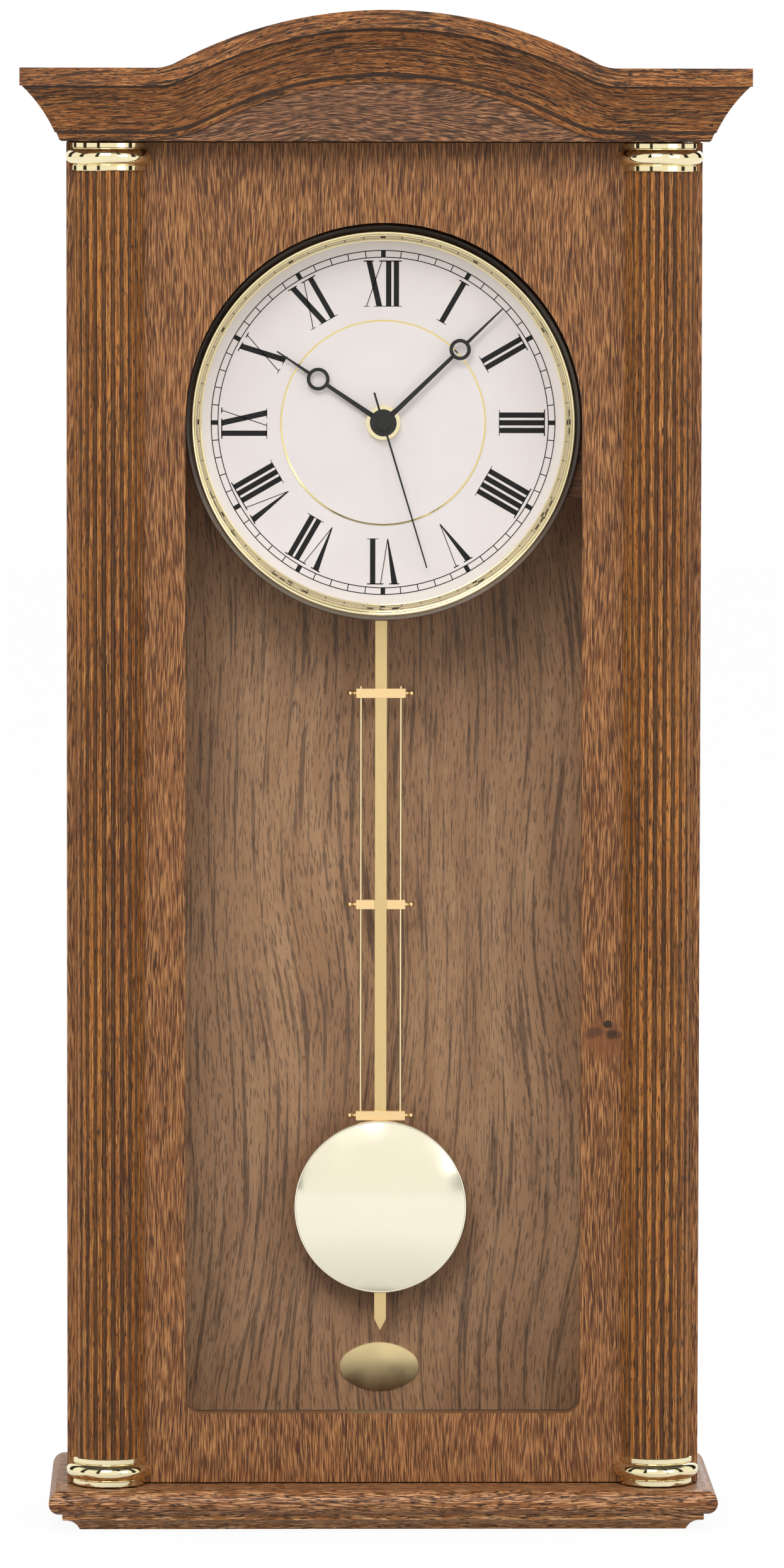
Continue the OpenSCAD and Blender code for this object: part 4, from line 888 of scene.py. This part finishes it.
# %% [markdown]
# ## The dial's printing
# The numerals are printed with thick stems, hairline strokes and thin level serifs. All stand with
# their feet to the centre, and four is four stems, as on most clocks. A font would be quicker, but
# few have such narrow numerals, and none bends its serifs to a dial. So each is built from flat
# strokes and turned to its hour.

# %% Strokes of a numeral
# Width of a stem, distance from stem to stem, width of a hairline, and how far a serif stands out
STEM, PITCH, HAIR, OVERHANG = 2.3, 3.3, 0.4, 1.35
FOOT_R, HEAD_R = 49.9, 69.4
TALL = HEAD_R - FOOT_R
SERIF_TAPER, SERIF_SHIFT = 0.2, 0.1
# Half width of the serif on a hairline
THIN_SERIF = 1.3


def stroke(bm, foot_x, head_x, width, foot=0.0, head=TALL):
    """A straight stroke between two heights, width mm across measured level."""
    half = width / 2
    corners = [(foot_x - half, foot), (foot_x + half, foot)]
    corners += [(head_x + half, head), (head_x - half, head)]
    bm.faces.new([bm.verts.new((x, 0, z)) for x, z in corners])


def serif(bm, left, right, z):
    """A thin level bar, narrower at its upper edge."""
    low = z - HAIR / 2 + (SERIF_SHIFT if z < TALL / 2 else -SERIF_SHIFT)
    high = z + HAIR / 2
    corners = ((left, low), (right, low), (right - SERIF_TAPER, high), (left + SERIF_TAPER, high))
    bm.faces.new([bm.verts.new((x, 0, height)) for x, height in corners])


def stems(bm, x, count):
    """Upright stems under shared serifs, from x on."""
    last = x + (count - 1) * PITCH
    for i in range(count):
        stroke(bm, x + i * PITCH, x + i * PITCH, STEM)
    for z in (0.0, TALL):
        serif(bm, x - STEM / 2 - OVERHANG, last + STEM / 2 + OVERHANG, z)


def letter_x(bm, x):
    """An X about x: a thick stroke falling to the right and a hairline rising to the right."""
    thick_lean, thin_lean = 2.2, 3.3
    stroke(bm, x + thick_lean, x - thick_lean, STEM * 1.08)
    stroke(bm, x - thin_lean, x + thin_lean, HAIR)
    for z, side in ((0.0, 1), (TALL, -1)):
        thick = x + side * thick_lean
        thin = x - side * thin_lean
        serif(bm, thick - STEM / 2 - OVERHANG, thick + STEM / 2 + 0.9, z)
        serif(bm, thin - THIN_SERIF, thin + THIN_SERIF, z)


def letter_v(bm, x):
    """A V about x: a thick stroke on the left and a hairline on the right, meeting at the foot."""
    head_right = x - 1.1
    head_left = head_right - STEM * 1.15
    corners = ((x + 0.35, 0.0), (x + 0.75, 0.6), (head_right, TALL), (head_left, TALL))
    bm.faces.new([bm.verts.new((px, 0, pz)) for px, pz in corners])
    thin = x + 3.6
    stroke(bm, x + 0.55, thin, HAIR * 0.9)
    thick = x - 2.3
    serif(bm, thick - STEM / 2 - 1.1, thick + STEM / 2 + 1.1, TALL)
    serif(bm, thin - THIN_SERIF, thin + THIN_SERIF, TALL)


print("numerals", round(TALL, 1), "mm tall")

# %% [markdown]
# ### Twelve hours
# Each numeral is a row of letters about a middle, and the row is turned to its hour round the
# dial's centre. The table gives each letter's place in the row, which was read from the photograph.

# %% Numerals
# For each hour, its letters, the place of each across the numeral in mm, and the number of stems
NUMERALS = (
    (("I", 0, 1),),
    (("I", -PITCH / 2, 2),),
    (("I", -PITCH, 3),),
    (("I", -1.5 * PITCH, 4),),
    (("V", 0, 0),),
    (("V", -2.6, 0), ("I", 4.4, 1)),
    (("V", -4.2, 0), ("I", 2.9, 2)),
    (("V", -5.8, 0), ("I", 1.3, 3)),
    (("I", -4.6, 1), ("X", 2.0, 0)),
    (("X", 0, 0),),
    (("X", -2.6, 0), ("I", 3.8, 1)),
    (("X", -3.9, 0), ("I", 2.3, 2)),
)
numerals = bmesh.new()
for hour, letters in enumerate(NUMERALS, start=1):
    begin = len(numerals.verts)
    for letter, x, count in letters:
        if letter == "I":
            stems(numerals, x, count)
        elif letter == "X":
            letter_x(numerals, x)
        else:
            letter_v(numerals, x)
    numerals.verts.ensure_lookup_table()
    turn = Matrix.Rotation(math.radians(30 * hour), 4, "Y") @ Matrix.Translation((0, 0, FOOT_R))
    bmesh.ops.transform(numerals, matrix=turn, verts=numerals.verts[begin:])
print("numerals made of", len(numerals.faces), "strokes")

# %% [markdown]
# ### The minute track
# Two hairline rings with a tick for each minute and a block for each hour. Each ring is a circle
# whose edge is extruded and widened, which bmesh does in three calls. Numerals and track are then
# laid on the enamel and raised by a few hundredths of a millimetre, as thick ink is. With no height
# at all, the two surfaces would flicker.


# %% Minute track
TRACK_IN, TRACK_OUT, LINE, BLOCK = 70.8, 74.1, 0.42, 2.0
TRACK_STEPS = 240
PRINT_LIFT = 0.03


def ring_face(bm, inner, outer):
    """A flat ring of faces, from a circle that is widened outwards."""
    made = bmesh.ops.create_circle(bm, segments=TRACK_STEPS, radius=inner, cap_ends=False)["verts"]
    upright = Matrix.Rotation(math.radians(90), 3, "X")
    bmesh.ops.rotate(bm, verts=made, cent=(0, 0, 0), matrix=upright)
    edges = [e for e in bm.edges if e.verts[0] in made and e.verts[1] in made]
    wide = bmesh.ops.extrude_edge_only(bm, edges=edges)["geom"]
    verts = [g for g in wide if isinstance(g, bmesh.types.BMVert)]
    bmesh.ops.scale(bm, verts=verts, vec=(outer / inner, outer / inner, outer / inner))


track = bmesh.new()
ring_face(track, TRACK_IN, TRACK_IN + LINE)
ring_face(track, TRACK_OUT - LINE, TRACK_OUT)
for minute in range(60):
    begin = len(track.verts)
    stroke(track, 0, 0, LINE if minute % 5 else BLOCK, TRACK_IN + 0.1, TRACK_OUT - 0.1)
    track.verts.ensure_lookup_table()
    turn = Matrix.Rotation(math.radians(6 * minute), 4, "Y")
    bmesh.ops.transform(track, matrix=turn, verts=track.verts[begin:])

on_dial = Matrix.Translation((0, dial_front, hands_axis))
for name, printing in (("dial_numerals", numerals), ("minute_track", track)):
    bmesh.ops.transform(printing, matrix=on_dial @ Matrix.Scale(MM, 4), verts=printing.verts)
    printing.normal_update()
    backwards = [f for f in printing.faces if f.normal.y > 0]
    bmesh.ops.reverse_faces(printing, faces=backwards)
    raised = bmesh.ops.extrude_face_region(printing, geom=list(printing.faces))["geom"]
    top = [g for g in raised if isinstance(g, bmesh.types.BMVert)]
    bmesh.ops.translate(printing, verts=top, vec=(0, -PRINT_LIFT * MM, 0))
    settle(name, printing, "case", numeral_ink)

# %% [markdown]
# ### The gilt line
# A gilt line runs round the middle of the dial, golden above the centre and darker below it.
# Printed flat, it would be one even colour. It is a thin hoop whose face slopes inwards instead:
# above the centre it mirrors the bright floor and below it the dim ceiling, as the real line does.

# %% Gilt line
# Inner radius, width, and height at the outer edge; its back sinks a little into the enamel
LINE_R, LINE_W, LINE_H, SUNK = 43.5, 0.62, 0.36, 0.02
section = [(LINE_R, -SUNK), (LINE_R, 0.04), (LINE_R + LINE_W, LINE_H), (LINE_R + LINE_W, -SUNK)]
bm = turned(section, 360, 240)
bmesh.ops.transform(bm, matrix=on_dial @ FACE_FRONT, verts=bm.verts)
settle("gilt_circle", bm, "case", gilt_line)
